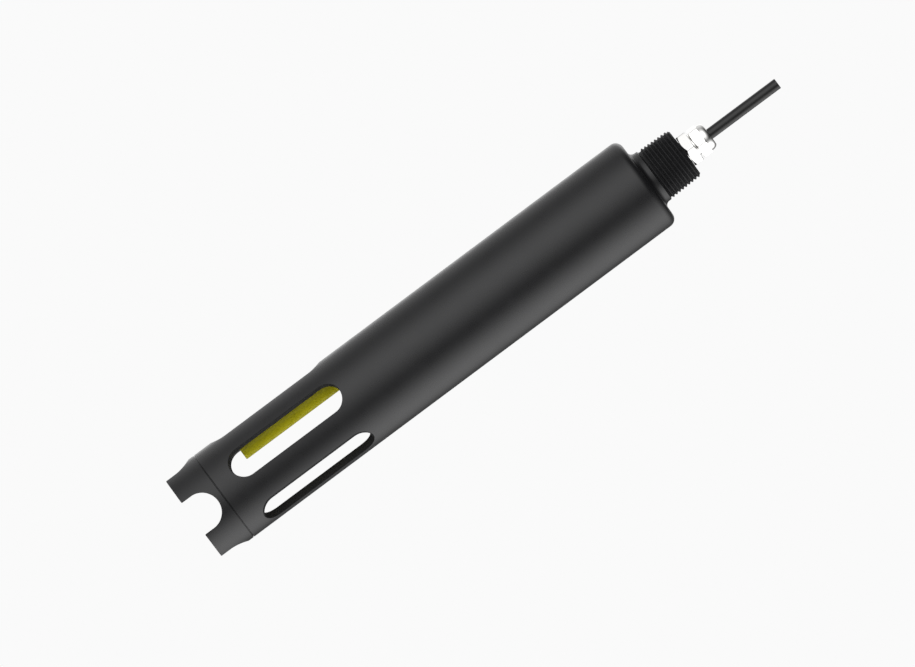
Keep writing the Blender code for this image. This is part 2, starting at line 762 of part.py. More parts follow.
def make_leads():
    """One lead from the rear of each electrode to its connector on the board."""
    low = ELECTRODE_REAR - LEAD_DEPTH + CLEARANCE
    turn_z = HOLDER_REAR + CLEARANCE
    connector_z = BOARD_START + CONNECTOR_HEIGHT + CONNECTOR_WALL
    entry_y = BOARD_THICKNESS / 2 + CLEARANCE + CONNECTOR_ENTRY
    spacing = CONNECTOR_SIZE[0] / 4
    places = electrode_places()
    ends = {
        "nitrate_lead": (places[0], -spacing, -entry_y),
        "reference_lead": (places[1], spacing, -entry_y),
        "temperature_lead": (places[2], 0.0, entry_y),
    }
    for name, ((x, y), end_x, end_y) in ends.items():
        start = Vector((x, y, turn_z))
        end = Vector((end_x, end_y, connector_z))
        rise = (connector_z - turn_z) / 3
        leave = start + Vector((0.0, math.copysign(LEAD_R, end_y), rise))
        arrive = end - Vector((0.0, 0.0, rise))
        route = [Vector((x, y, low))] + bezier_route(start, end, leave, arrive)
        wire(name, route, LEAD_R, make_material(name, (0.25, 0.25, 0.25), 0.5))


def make_board():
    """The circuit board, its two screws and the disc that holds its rear end."""
    board = block(
        "circuit_board",
        (BOARD_WIDTH, BOARD_THICKNESS, BOARD_LENGTH),
        (0.0, 0.0, BOARD_START + BOARD_LENGTH / 2),
    )
    dress(board, BOARD_GREEN)
    screw_z = BOARD_START + BOARD_SCREW_HEIGHT
    head_low = -BOARD_THICKNESS / 2 - CLEARANCE
    profile = [
        (0.0, BOARD_SCREW_HEAD),
        (BOARD_SCREW_TOP_R, BOARD_SCREW_HEAD),
        (BOARD_SCREW_HEAD_R, BOARD_SCREW_RIM),
        (BOARD_SCREW_HEAD_R, 0.0),
        (BOARD_SCREW_R, 0.0),
        (BOARD_SCREW_R, -BOARD_SCREW_LENGTH),
        (0.0, -BOARD_SCREW_LENGTH),
    ]
    for side, x in zip(("left", "right"), board_screw_places()):
        hole = rod(
            f"board_hole_{side}",
            BOARD_SCREW_R + CLEARANCE,
            4 * BOARD_THICKNESS,
            (x, 0.0, screw_z),
            "Y",
        )
        combine(board, hole, "DIFFERENCE")
        screw = turned(f"board_screw_{side}", profile, STEEL, SHAFT_STEPS, False)
        screw.rotation_euler.x = math.pi / 2
        screw.location = (x, head_low, screw_z)
    bake(board)
    dress(board, BOARD_GREEN)

    low = BOARD_START + SUPPORT_HEIGHT
    outer = CHAMBER_R - CLEARANCE
    disc_profile = [
        (0.0, SUPPORT_THICKNESS),
        (outer, SUPPORT_THICKNESS),
        (outer, 0.0),
        (0.0, 0.0),
    ]
    disc = turned("rear_board_support", disc_profile, NYLON, TUBE_STEPS, False, low)
    middle = low + SUPPORT_THICKNESS / 2
    tall = 2 * SUPPORT_THICKNESS
    slot_size = (BOARD_WIDTH + 2 * CLEARANCE, BOARD_THICKNESS + 2 * CLEARANCE, tall)
    combine(disc, as_cutter(block("board_slot", slot_size, (0.0, 0.0, middle))), "DIFFERENCE")
    width, depth = SUPPORT_WINDOW
    window = block("wire_window", (width, depth, tall), (0.0, -depth / 2, middle))
    combine(disc, as_cutter(window), "DIFFERENCE")
    bake(disc)
    dress(disc, NYLON)


def make_connector(name, size, height, side):
    """A socket housing on one face of the board, open at both ends of its height."""
    width, depth, length = size
    y = side * (BOARD_THICKNESS / 2 + CLEARANCE + depth / 2)
    z = BOARD_START + height + length / 2
    connector = block(name, size, (0.0, y, z))
    hollow_size = (width - 2 * CONNECTOR_WALL, depth - 2 * CONNECTOR_WALL, 2 * length)
    hollow_z = z - length - CONNECTOR_WALL
    if name == "cable_connector":
        hollow_z = z + length + CONNECTOR_WALL
    hollow = block(name + "_hollow", hollow_size, (0.0, y, hollow_z))
    combine(connector, as_cutter(hollow), "DIFFERENCE")
    bake(connector)
    dress(connector, CONNECTOR_WHITE)


def make_chip(name, size, height):
    """A chip package with bevelled edges on the front of the board."""
    width, thickness, length = size
    y = -(BOARD_THICKNESS / 2 + CLEARANCE + thickness / 2)
    chip = block(name, size, (0.0, y, BOARD_START + height + length / 2))
    bevel = chip.modifiers.new("Edges", "BEVEL")
    bevel.width = CHIP_BEVEL
    bevel.segments = 1
    dress(chip, CHIP_BLACK)


def make_electronics():
    make_board()
    make_connector("electrode_connector", CONNECTOR_SIZE, CONNECTOR_HEIGHT, -1)
    make_connector("temperature_connector", CONNECTOR_SIZE, CONNECTOR_HEIGHT, 1)
    make_connector("cable_connector", CABLE_CONNECTOR_SIZE, CABLE_CONNECTOR_HEIGHT, -1)
    for name, (size, height) in CHIPS.items():
        make_chip(name, size, height)
    profile = [
        (0.0, CAPACITOR_LENGTH),
        (CAPACITOR_R - CAPACITOR_EDGE, CAPACITOR_LENGTH),
        (CAPACITOR_R, CAPACITOR_LENGTH - CAPACITOR_EDGE),
        (CAPACITOR_R, 0.0),
        (0.0, 0.0),
    ]
    capacitor = turned("filter_capacitor", profile, STEEL, SHAFT_STEPS, False)
    capacitor.rotation_euler.x = -math.pi / 2
    capacitor.location = (0.0, BOARD_THICKNESS / 2 + CLEARANCE, BOARD_START + CAPACITOR_HEIGHT)


def make_gland():
    """The cable gland: gasket, body, claw, seal and compression nut."""
    cable_bore = CABLE_R + CLEARANCE
    spigot_r = GLAND_BORE_R - CLEARANCE
    neck_top = BODY_HEX_HEIGHT + NECK_THREAD_LENGTH
    seat_low = neck_top - GLAND_SEAT_DEPTH
    body_profile = [
        (NECK_THREAD_R - HEX_CHAMFER / 2, neck_top),
        (NECK_THREAD_R, neck_top - HEX_CHAMFER / 2),
        (NECK_THREAD_R, BODY_HEX_HEIGHT),
        (BODY_HEX / 2, BODY_HEX_HEIGHT),
        (BODY_HEX_CORNER_R, BODY_HEX_HEIGHT - HEX_CHAMFER),
        (BODY_HEX_CORNER_R, BODY_HEX_CHAMFER),
        (BODY_HEX / 2, 0.0),
        (spigot_r, 0.0),
        (spigot_r, -GLAND_THREAD_LENGTH + HEX_CHAMFER),
        (spigot_r - HEX_CHAMFER, -GLAND_THREAD_LENGTH),
        (cable_bore, -GLAND_THREAD_LENGTH),
        (cable_bore, seat_low - GLAND_SEAT_R + cable_bore),
        (GLAND_SEAT_R, seat_low),
        (GLAND_SEAT_R, neck_top),
    ]
    body = turned("gland_body", body_profile, NICKEL, GLAND_STEPS, True, GLAND_FLANGE_Z)
    bar_low = GLAND_FLANGE_Z - 2 * GLAND_THREAD_LENGTH
    bar_high = NUT_MOUTH_Z + GLAND_THREAD_LENGTH
    combine(body, hexagon("body_hexagon", BODY_HEX, bar_low, bar_high), "INTERSECT")
    bake(body)
    dress(body, NICKEL)

    gasket_profile = [
        (GASKET_R, GASKET_THICKNESS),
        (GASKET_R, 0.0),
        (GLAND_BORE_R, 0.0),
        (GLAND_BORE_R, GASKET_THICKNESS),
    ]
    turned("gland_gasket", gasket_profile, BLACK_RUBBER, GLAND_STEPS, True, GASKET_Z)

    seal_outer = cable_bore + SEAL_WALL
    seal_profile = [
        (seal_outer, SEAL_LENGTH),
        (seal_outer, 0.0),
        (cable_bore, 0.0),
        (cable_bore, SEAL_LENGTH),
    ]
    seat_z = GLAND_FLANGE_Z + seat_low + CLEARANCE
    turned("gland_seal", seal_profile, BLACK_RUBBER, GLAND_STEPS, True, seat_z)

    claw_inner = seal_outer + SEAL_CLEARANCE
    claw_outer = claw_inner + CLAW_WALL
    claw_profile = [
        (claw_outer - CLAW_WALL / 2, CLAW_LENGTH),
        (claw_outer, CLAW_LENGTH - CLAW_WALL),
        (claw_outer, 0.0),
        (claw_inner, 0.0),
        (claw_inner, CLAW_LENGTH),
    ]
    claw = turned("gland_claw", claw_profile, NYLON, GLAND_STEPS, True, seat_z)
    slit_low = seat_z + CLAW_LENGTH / 2
    for i in range(CLAW_FINGERS // 2):
        slit = block(
            f"claw_slit_{i}",
            (3 * claw_outer, CLAW_SLOT, CLAW_LENGTH),
            (0.0, 0.0, slit_low + CLAW_LENGTH / 2),
        )
        slit.rotation_euler.z = FULL_TURN * i / CLAW_FINGERS
        combine(claw, as_cutter(slit), "DIFFERENCE")
    bake(claw)
    dress(claw, NYLON)

    nut_r = NUT_HEX / 2 / math.cos(math.pi / 6)
    thread_bore = NECK_THREAD_R + CLEARANCE
    bore_top = NECK_THREAD_LENGTH - NUT_GAP + CLEARANCE
    mouth = NUT_HEX_HEIGHT + NUT_DOME_HEIGHT
    dome_r = NUT_HEX / 2 - HEX_CHAMFER / 2
    nut_profile = [(NUT_MOUTH_R, mouth)]
    for i in range(1, NUT_DOME_STEPS + 1):
        angle = math.pi / 2 * i / NUT_DOME_STEPS
        nut_profile.append(
            (
                NUT_MOUTH_R + (dome_r - NUT_MOUTH_R) * math.sin(angle),
                NUT_HEX_HEIGHT + NUT_DOME_HEIGHT * math.cos(angle),
            )
        )
    nut_profile += [
        (nut_r, NUT_HEX_HEIGHT - HEX_CHAMFER),
        (nut_r, HEX_CHAMFER),
        (NUT_HEX / 2, 0.0),
        (thread_bore, 0.0),
        (thread_bore, bore_top),
        (claw_outer + CLEARANCE, bore_top + CLEARANCE),
        (cable_bore, mouth - CABLE_START_DEPTH - CLEARANCE),
        (cable_bore, mouth),
    ]
    nut = turned("gland_nut", nut_profile, NICKEL, GLAND_STEPS, True, NUT_BASE)
    combine(nut, hexagon("nut_hexagon", NUT_HEX, bar_low, bar_high), "INTERSECT")
    bake(nut)
    dress(nut, NICKEL)


def make_cable():
    """The cable's held stretch with its four cores, and its free stretch."""
    jacket = make_material("cable_jacket", (0.012, 0.012, 0.012), 0.45)
    inside_end = BOARD_START + BOARD_LENGTH + CORE_RUN
    inside_top = CABLE_START - CLEARANCE
    straight = [Vector((0, 0, inside_end + (inside_top - inside_end) * i / 4)) for i in range(5)]
    wire("cable_inside", straight, CABLE_R, jacket)
    free_route = [
        Vector((0, 0, CABLE_START + CABLE_FREE_LENGTH * i / CABLE_POINTS))
        for i in range(CABLE_POINTS + 1)
    ]
    wire("cable", free_route, CABLE_R, jacket)

    connector_top = BOARD_START + CABLE_CONNECTOR_HEIGHT + CABLE_CONNECTOR_SIZE[2]
    low = connector_top - CONNECTOR_WALL
    high = inside_end - CLEARANCE
    entry_y = -(BOARD_THICKNESS / 2 + CLEARANCE + CABLE_CONNECTOR_SIZE[1] / 2)
    rise = (high - low) / 3
    for i, (colour_name, (colour, degrees)) in enumerate(CORES.items()):
        x = (i - (len(CORES) - 1) / 2) * CORE_SPACING
        angle = math.radians(degrees)
        start = Vector((x, entry_y, low))
        end = Vector((CORE_CIRCLE_R * math.cos(angle), CORE_CIRCLE_R * math.sin(angle), high))
        leave = start + Vector((0, 0, rise))
        arrive = end - Vector((0, 0, rise))
        route = bezier_route(start, end, leave, arrive)
        wire(f"core_{colour_name}", route, CORE_R, make_material(colour_name, colour, 0.5))


def make_empty(name, z):
    """A marker on the probe's axis that moving pieces hang from."""
    empty = bpy.data.objects.new(name, None)
    empty.location.z = z
    PARTS.objects.link(empty)
    return empty


def hang(parent, names):
    bpy.context.view_layer.update()
    for name in names:
        piece = bpy.data.objects[name]
        piece.parent = parent
        piece.matrix_parent_inverse = parent.matrix_world.inverted()


make_crown()
make_tube()
make_holder()
nitrate_place, reference_place, temperature_place = electrode_places()
make_tipped_electrode(
    "nitrate_electrode",
    OLIVE_PLASTIC,
    nitrate_place,
    "nitrate_membrane",
    MEMBRANE,
    MEMBRANE_R,
    MEMBRANE_THICKNESS,
)
make_tipped_electrode(
    "reference_electrode",
    WHITE_PLASTIC,
    reference_place,
    "reference_junction",
    CERAMIC,
    JUNCTION_R,
    JUNCTION_THICKNESS,
)
make_temperature_probe(temperature_place)
make_leads()
make_electronics()
make_gland()
make_cable()

probe_turn = make_empty("probe_turn", TUBE_FRONT)
nut_turn = make_empty("nut_turn", NUT_BASE)
hang(nut_turn, ["gland_nut"])
hang(
    probe_turn,
    [
        piece.name
        for piece in PARTS.objects
        if piece.parent is None and piece.type != "EMPTY" and not piece.name.startswith("crown")
    ],
)
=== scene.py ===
"""The looks of the nitrate nitrogen sensor: fine meshes, finishes, studio and camera.

Metres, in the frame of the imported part: the probe stands on its crown at Z = 0, axis on Z.
"""

import math
from functools import partial

import bmesh
import bpy
from mathutils import Matrix, Vector


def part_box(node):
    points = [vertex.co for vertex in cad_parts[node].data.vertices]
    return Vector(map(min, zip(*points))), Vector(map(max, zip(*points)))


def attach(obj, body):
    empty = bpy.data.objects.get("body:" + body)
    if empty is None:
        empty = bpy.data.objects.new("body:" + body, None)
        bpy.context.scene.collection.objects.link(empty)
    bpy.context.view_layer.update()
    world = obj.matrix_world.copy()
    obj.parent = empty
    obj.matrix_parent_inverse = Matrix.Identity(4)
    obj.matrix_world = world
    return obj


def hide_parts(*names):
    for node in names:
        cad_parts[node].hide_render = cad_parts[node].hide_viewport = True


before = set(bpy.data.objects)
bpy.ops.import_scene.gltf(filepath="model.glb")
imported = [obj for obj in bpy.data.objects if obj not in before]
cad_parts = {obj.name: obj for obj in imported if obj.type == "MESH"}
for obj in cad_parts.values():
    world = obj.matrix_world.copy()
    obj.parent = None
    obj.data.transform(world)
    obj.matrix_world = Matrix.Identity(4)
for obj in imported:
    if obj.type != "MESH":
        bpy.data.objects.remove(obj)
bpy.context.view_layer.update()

MM = 0.001
FULL_TURN = 2 * math.pi

# The photograph's framing: its width, and the view's middle from the crown's foot and from the
# axis, in its own pixels, and the lens and its sensor in millimetres
PHOTO_WIDTH = 915
MM_PER_PIXEL = 0.4545
AXIS_RISE = math.radians(36.711)
MIDDLE_ALONG = 322.1
MIDDLE_ACROSS = 9.2
LENS = 1200.0
SENSOR = 36.0


def ends(node):
    """The lowest and highest Z of a solid."""
    lowest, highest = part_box(node)
    return lowest[2], highest[2]


# Places along the probe that the solids give
TUBE_FRONT, THREAD_END = ends("sensor_tube")
SPIGOT_TOP = ends("crown_ring")[1]
HOLDER_FRONT, TONGUE_END = ends("electrode_holder")
ELECTRODE_TIP, ELECTRODE_REAR = ends("nitrate_electrode")
BASE_FRONT = ends("temperature_base")[0]
GASKET_Z, GASKET_TOP = ends("gland_gasket")
GLAND_FOOT, NECK_TOP = ends("gland_body")
NUT_Z, NUT_MOUTH_Z = ends("gland_nut")
CLAW_Z, CLAW_TOP = ends("gland_claw")

# Clearance, and the body's radii as the solids have them
CLEARANCE = 0.3 * MM
BODY_R = 23.0 * MM
CAGE_BORE_R = 19.0 * MM

# Crown ring. The flare at a notch's tips starts at an angle in degrees.
SEAM = 0.25 * MM
SEAM_CHAMFER = 0.3 * MM
CROWN_HEIGHT = TUBE_FRONT - SEAM
NOTCH_COUNT = 4
NOTCH_WIDTH = 17.8 * MM
NOTCH_DEPTH = 13.9 * MM
NOTCH_ROUNDING = 0.25 * MM
NOTCH_FLARE_START = 250
FOOT_ROUNDING = 0.4 * MM
SPIGOT_R = 20.5 * MM
SPIGOT_BORE_R = 18.2 * MM
SPIGOT_CHAMFER = 0.5 * MM
SPIGOT_PITCH = 2.0 * MM
SPIGOT_THREAD_DEPTH = 0.6 * MM
COLLAR_R = 22.5 * MM
COLLAR_GAP = 0.05 * MM
COLLAR_TOP = TUBE_FRONT - COLLAR_GAP
GROOVE_WIDTH = 1.7 * MM
GROOVE_DEPTH = 1.1 * MM
CROWN_GROOVE_LOW = TUBE_FRONT + GROOVE_WIDTH / 2
CROWN_RING_R = 20.1 * MM
CROWN_RING_SECTION_R = 0.5 * MM
CROWN_RING_Z = CROWN_GROOVE_LOW + GROOVE_WIDTH / 2

# Tapered pipe thread
THREAD_LENGTH = 17.2 * MM
THREAD_START = THREAD_END - THREAD_LENGTH
THREAD_R = 13.35 * MM
THREAD_PITCH = 1.814 * MM
THREAD_DEPTH = 0.9 * MM
THREAD_ROOT = 0.05 * MM
THREAD_CREST = 0.3 * MM
THREAD_TAPER = 1 / 32
THREAD_START_ROOT_R = THREAD_R - THREAD_DEPTH
THREAD_END_ROOT_R = THREAD_START_ROOT_R - THREAD_LENGTH * THREAD_TAPER
THREAD_EDGE = 0.3 * MM
THREAD_END_CHAMFER = 0.9 * MM
SPOT_FACE_R = 9.13 * MM
SPOT_FACE_DEPTH = 1.0 * MM

# Electrode holder
TONGUE_LENGTH = 24.0 * MM
HOLDER_REAR = TONGUE_END - TONGUE_LENGTH
HOLDER_R = CAGE_BORE_R - CLEARANCE
HOLDER_CHAMFER = 0.5 * MM
HOLDER_GROOVE_SETBACKS = (6.5 * MM, 18.5 * MM)
HOLDER_GROOVE_WIDTH = 2.4 * MM
HOLDER_GROOVE_DEPTH = 1.7 * MM
BORE_FLARE = 0.4 * MM
TONGUE_WIDTH = 16.0 * MM
TONGUE_THICKNESS = 3.5 * MM
TONGUE_Y = 2.85 * MM
TONGUE_HOLES = (-5.0 * MM, 5.0 * MM)
TONGUE_HOLE_R = 1.55 * MM
TONGUE_HOLE_RISE = 17.0 * MM

# Probe tube
TUBE_SEAT_R = SPIGOT_R + CLEARANCE
TUBE_SEAT_TOP = SPIGOT_TOP + CLEARANCE
SLOT_COUNT = 5
SLOT_WIDTH = 14.4 * MM
SLOT_LENGTH = 61.3 * MM
SLOT_SETBACK = 9.6 * MM
SLOT_START = TUBE_FRONT + SLOT_SETBACK
SLOT_ROUNDING = 0.25 * MM
FIRST_SLOT_ANGLE = math.radians(178.85)
NECK_R = 13.4 * MM
NECK_LENGTH = 3.9 * MM
NECK_FILLET = 2.4 * MM
SHOULDER_Z = THREAD_START - NECK_LENGTH
SHOULDER_ROUNDING = 4.0 * MM
END_WALL = 12.0 * MM
CHAMBER_R = 17.3 * MM
CHAMBER_START = HOLDER_REAR + CLEARANCE
CHAMBER_END = SHOULDER_Z - END_WALL
GLAND_BORE_R = 6.0 * MM

# Electrodes
ELECTRODE_COUNT = 3
ELECTRODE_R = 5.0 * MM
ELECTRODE_PITCH_R = 12.2 * MM
ELECTRODE_CHAMFER = 0.4 * MM
FLANGE_R = 5.9 * MM
FLANGE_LENGTH = 3.2 * MM
O_RING_SETBACK = 12.0 * MM
LEAD_HOLE_R = 0.9 * MM
LEAD_DEPTH = 5.0 * MM
MEMBRANE_R = 3.3 * MM
MEMBRANE_THICKNESS = 0.9 * MM
JUNCTION_R = 2.2 * MM
JUNCTION_THICKNESS = 1.4 * MM
TIP_DISC_EDGE = 0.12 * MM
SHEATH_R = 3.0 * MM
SHEATH_INSERTION = 20.0 * MM
SOCKET_TOP = BASE_FRONT + SHEATH_INSERTION

# Cable gland
GASKET_R = 7.6 * MM
GASKET_EDGE = 0.15 * MM
BODY_HEX = 15.3 * MM
BODY_HEX_HEIGHT = 4.8 * MM
BODY_HEX_CHAMFER = 1.0 * MM
HEX_CHAMFER = 0.5 * MM
HEX_CORNER = 0.6 * MM
HEX_FACE_EDGE = 0.2 * MM
NECK_THREAD_R = 5.6 * MM
NECK_THREAD_EDGE = 0.1 * MM
GLAND_PITCH = 1.5 * MM
GLAND_THREAD_DEPTH = 0.4 * MM
GLAND_THREAD_LENGTH = 10.0 * MM
GLAND_Z = GLAND_FOOT + GLAND_THREAD_LENGTH
GLAND_SEAT_R = 4.85 * MM
GLAND_SEAT_DEPTH = 4.4 * MM
NUT_HEX = 13.7 * MM
NUT_DOME_HEIGHT = 3.0 * MM
NUT_DOME_EDGE = 0.125 * MM
NUT_MOUTH_R = 5.0 * MM
NUT_LIP = 0.25 * MM
NUT_BORE_R = 5.9 * MM
NUT_BORE_DEPTH = 4.8 * MM
NUT_BORE_EDGE = 0.3 * MM
NUT_THREAD_RELIEF = 0.2 * MM
NUT_ANGLE = math.radians(12)
CLAW_INNER_R = 3.85 * MM
CLAW_WALL = 0.7 * MM
CLAW_FINGERS = 6
CLAW_SLIT = 0.5 * MM
SEAL_LENGTH = 4.0 * MM
SEAL_WALL = 0.75 * MM
SEAL_EDGE = 0.2 * MM
CABLE_HOLE_R = 2.9 * MM

# Cable
CABLE_R = 2.6 * MM
CABLE_START = 292.0 * MM
CABLE_LENGTH = 39.0 * MM
CABLE_EDGE = 0.12 * MM
JACKET_WALL = 0.65 * MM
CORE_DEPTH = 0.4 * MM
CORE_LIFT = 0.02 * MM
CORE_R = 0.55 * MM
CORE_WIRE_R = 0.28 * MM
WIRE_GAP = 0.01 * MM
CORE_CIRCLE_R = 1.35 * MM
CORE_ANGLES = {"red": 180, "black": 270, "yellow": 90, "blue": 0}

# The surround, and the soft panels round the probe: azimuth of the middle and half width in
# degrees, 0 at the camera's side and 90 at +X, and radiance. They fade towards straight up and
# down.
SURROUND = 0.956
ROOM_RADIANCE = 0.1
KEY_PANEL = (89, 67, 1.95)
FILL_PANEL = (-31, 70, 1.5)
SIDE_PANEL = (-129, 75, 0.62)
REAR_PANEL = (-166, 29, 0.86)
BRIGHTEST = 2.1
RAMP_STOPS = 31
PANEL_EDGE = 0.25
POLE_LEVEL = 0.05

# The light for the nitrate electrode, in metres, and the floor
ELECTRODE_LIGHT_AZIMUTH = 112
ELECTRODE_LIGHT_DISTANCE = 1.5
ELECTRODE_LIGHT_WIDTH = 0.6
ELECTRODE_LIGHT_HEIGHT = 1.0
ELECTRODE_RADIANCE = 3.6
FLOOR_R = 4.0
FLOOR_SIDES = 96
FLOOR_GAP = 0.05 * MM

# Facets of round pieces, from the body down to the thinnest
BODY_SIDES = 144
GLAND_SIDES = 96
SHAFT_SIDES = 64
HOLE_SIDES = 32
CORE_SIDES = 24
WIRE_SIDES = 16

# Steps of threads and roundings, where a cutter's rounding begins, the angle at which shading
# breaks, and how far a cutter reaches past a wall
THREAD_ROWS_A_TURN = 18
SLOT_END_STEPS = 28
NOTCH_END_STEPS = 32
NOTCH_FLARE_STEPS = 6
RING_STEPS = 24
DOME_STEPS = 18
SHOULDER_STEPS = 10
NECK_STEPS = 8
ELECTRODE_EDGE_STEPS = 6
FILLET_STEPS = 5
SMALL_EDGE_STEPS = 4
CHAMFER_STEPS = 3
FILLET_END = math.radians(78)
SMOOTH_ANGLE = math.radians(32)
CUTTER_REACH = 5.0 * MM

# Patches of colour and gloss, where a noise has its low and high values, and how dark a core's
# insulation gets
PATCH_SIZE = 12.0 * MM
NOISE_LOW = 0.3
NOISE_HIGH = 0.7
CORE_SHADE = 0.85


def make_camera():
    """A long lens at the photograph's angle: square to the probe, with its axis rising right."""
    data = bpy.data.cameras.new("camera")
    data.lens = LENS
    data.sensor_width = SENSOR
    camera = bpy.data.objects.new("camera", data)
    bpy.context.scene.collection.objects.link(camera)
    width = PHOTO_WIDTH * MM_PER_PIXEL * MM
    distance = width * LENS / SENSOR
    right = Vector((math.sin(AXIS_RISE), 0.0, math.cos(AXIS_RISE)))
    up = Vector((-math.cos(AXIS_RISE), 0.0, math.sin(AXIS_RISE)))
    back = right.cross(up)
    middle = Vector((MIDDLE_ACROSS * MM_PER_PIXEL * MM, 0.0, MIDDLE_ALONG * MM_PER_PIXEL * MM))
    turned = Matrix((right, up, back)).transposed().to_4x4()
    camera.matrix_world = Matrix.Translation(middle + back * distance) @ turned
    data.clip_start = distance / 10
    data.clip_end = distance * 10
    bpy.context.scene.camera = camera


make_camera()


def set_up(shader, **values):
    """Sets a node's inputs by name, with an underscore for each space."""
    for name, value in values.items():
        shader.inputs[name.replace("_", " ")].default_value = value


def new_material(name):
    material = bpy.data.materials.new(name)
    material.use_nodes = True
    return material, material.node_tree.nodes, material.node_tree.links


def varied(nodes, links, coordinates, scale, low, high, detail=3.0):
    """A soft noise between two values, or between two colours."""
    noise = nodes.new("ShaderNodeTexNoise")
    noise.inputs["Scale"].default_value = scale
    noise.inputs["Detail"].default_value = detail
    links.new(coordinates, noise.inputs["Vector"])
    if isinstance(low, tuple):
        ramp = nodes.new("ShaderNodeValToRGB")
        ramp.color_ramp.elements[0].position = NOISE_LOW
        ramp.color_ramp.elements[1].position = NOISE_HIGH
        ramp.color_ramp.elements[0].color = (*low, 1.0)
        ramp.color_ramp.elements[1].color = (*high, 1.0)
        links.new(noise.outputs["Fac"], ramp.inputs["Fac"])
        return ramp.outputs["Color"]
    spread = nodes.new("ShaderNodeMapRange")
    spread.inputs["From Min"].default_value = NOISE_LOW
    spread.inputs["From Max"].default_value = NOISE_HIGH
    spread.inputs["To Min"].default_value = low
    spread.inputs["To Max"].default_value = high
    links.new(noise.outputs["Fac"], spread.inputs["Value"])
    return spread.outputs["Result"]


def finish(name, dark, light, smooth, rough, grain_size, grain, metallic=0.0):
    """A material with patches of colour and gloss, and a fine grain in its surface."""
    material, nodes, links = new_material(name)
    shader = nodes["Principled BSDF"]
    shader.inputs["Metallic"].default_value = metallic
    place = nodes.new("ShaderNodeTexCoord").outputs["Object"]
    colour = varied(nodes, links, place, 1 / PATCH_SIZE, dark, light)
    links.new(colour, shader.inputs["Base Color"])
    gloss = varied(nodes, links, place, 2 / PATCH_SIZE, smooth, rough)
    links.new(gloss, shader.inputs["Roughness"])
    bump = nodes.new("ShaderNodeBump")
    bump.inputs["Strength"].default_value = grain
    bump.inputs["Distance"].default_value = grain_size / 4
    heights = varied(nodes, links, place, 1 / grain_size, 0.0, 1.0, detail=2.0)
    links.new(heights, bump.inputs["Height"])
    links.new(bump.outputs["Normal"], shader.inputs["Normal"])
    return material


BLACK_PLASTIC = finish(
    "black_plastic", (0.008, 0.008, 0.009), (0.010, 0.010, 0.011), 0.26, 0.31, 0.35 * MM, 0.08
)
MILLED_PLASTIC = finish(
    "milled_plastic", (0.012, 0.012, 0.013), (0.016, 0.016, 0.017), 0.5, 0.6, 0.3 * MM, 0.15
)
set_up(MILLED_PLASTIC.node_tree.nodes["Principled BSDF"], Specular_IOR_Level=0.25)
BLACK_RUBBER = finish(
    "black_rubber", (0.010, 0.010, 0.010), (0.016, 0.016, 0.016), 0.6, 0.75, 0.3 * MM, 0.3
)
HOLDER_PLASTIC = finish(
    "holder_plastic", (0.020, 0.020, 0.021), (0.030, 0.030, 0.032), 0.45, 0.55, 0.4 * MM, 0.2
)
OLIVE_PLASTIC = finish(
    "olive_plastic", (0.60, 0.55, 0.012), (0.66, 0.61, 0.015), 0.34, 0.40, 0.5 * MM, 0.03
)
set_up(OLIVE_PLASTIC.node_tree.nodes["Principled BSDF"], Specular_IOR_Level=0.2)
MEMBRANE = finish("membrane", (0.10, 0.08, 0.02), (0.14, 0.11, 0.03), 0.18, 0.28, 0.4 * MM, 0.1)
WHITE_PLASTIC = finish(
    "white_plastic", (0.70, 0.69, 0.66), (0.76, 0.75, 0.72), 0.35, 0.45, 0.5 * MM, 0.1
)
CERAMIC = finish("ceramic", (0.74, 0.72, 0.66), (0.84, 0.82, 0.76), 0.75, 0.9, 0.15 * MM, 0.5)
STEEL = finish(
    "stainless_steel", (0.56, 0.56, 0.56), (0.62, 0.62, 0.61), 0.22, 0.3, 0.1 * MM, 0.08, 1.0
)
NICKEL = finish(
    "nickel_plate", (0.93, 0.925, 0.91), (0.96, 0.955, 0.94), 0.07, 0.1, 0.2 * MM, 0.02, 1.0
)
NYLON = finish("white_nylon", (0.68, 0.68, 0.64), (0.74, 0.74, 0.70), 0.45, 0.55, 0.4 * MM, 0.15)
BOARD_GREEN = finish(
    "board_green", (0.012, 0.10, 0.035), (0.02, 0.15, 0.06), 0.3, 0.4, 0.5 * MM, 0.1
)
CHIP_BLACK = finish(
    "chip_black", (0.015, 0.015, 0.015), (0.025, 0.025, 0.025), 0.45, 0.6, 0.1 * MM, 0.3
)
CONNECTOR_WHITE = finish(
    "connector_white", (0.68, 0.68, 0.62), (0.74, 0.74, 0.69), 0.4, 0.5, 0.4 * MM, 0.1
)
CABLE_JACKET = finish(
    "cable_jacket", (0.004, 0.004, 0.004), (0.007, 0.007, 0.007), 0.22, 0.28, 0.25 * MM, 0.1
)
CORE_COLOURS = {
    "red": (0.45, 0.02, 0.02),
    "black": (0.012, 0.012, 0.012),
    "yellow": (0.60, 0.45, 0.03),
    "blue": (0.02, 0.06, 0.35),
}
CORE_FINISHES = {
    name: finish(
        f"core_{name}", tuple(CORE_SHADE * c for c in colour), colour, 0.4, 0.5, 0.2 * MM, 0.1
    )
    for name, colour in CORE_COLOURS.items()
}
LEAD_GREY = finish("lead_grey", (0.20, 0.20, 0.20), (0.27, 0.27, 0.27), 0.45, 0.55, 0.2 * MM, 0.1)
COPPER = finish("copper", (0.75, 0.36, 0.20), (0.85, 0.45, 0.28), 0.25, 0.35, 0.1 * MM, 0.1, 1.0)


def arc(centre_r, centre_z, radius, start, end, count):
    """Points of an arc in a section, from one angle to another in degrees."""
    points = []
    for i in range(count + 1):
        angle = math.radians(start + (end - start) * i / count)
        points.append((centre_r + radius * math.cos(angle), centre_z + radius * math.sin(angle)))
    return points


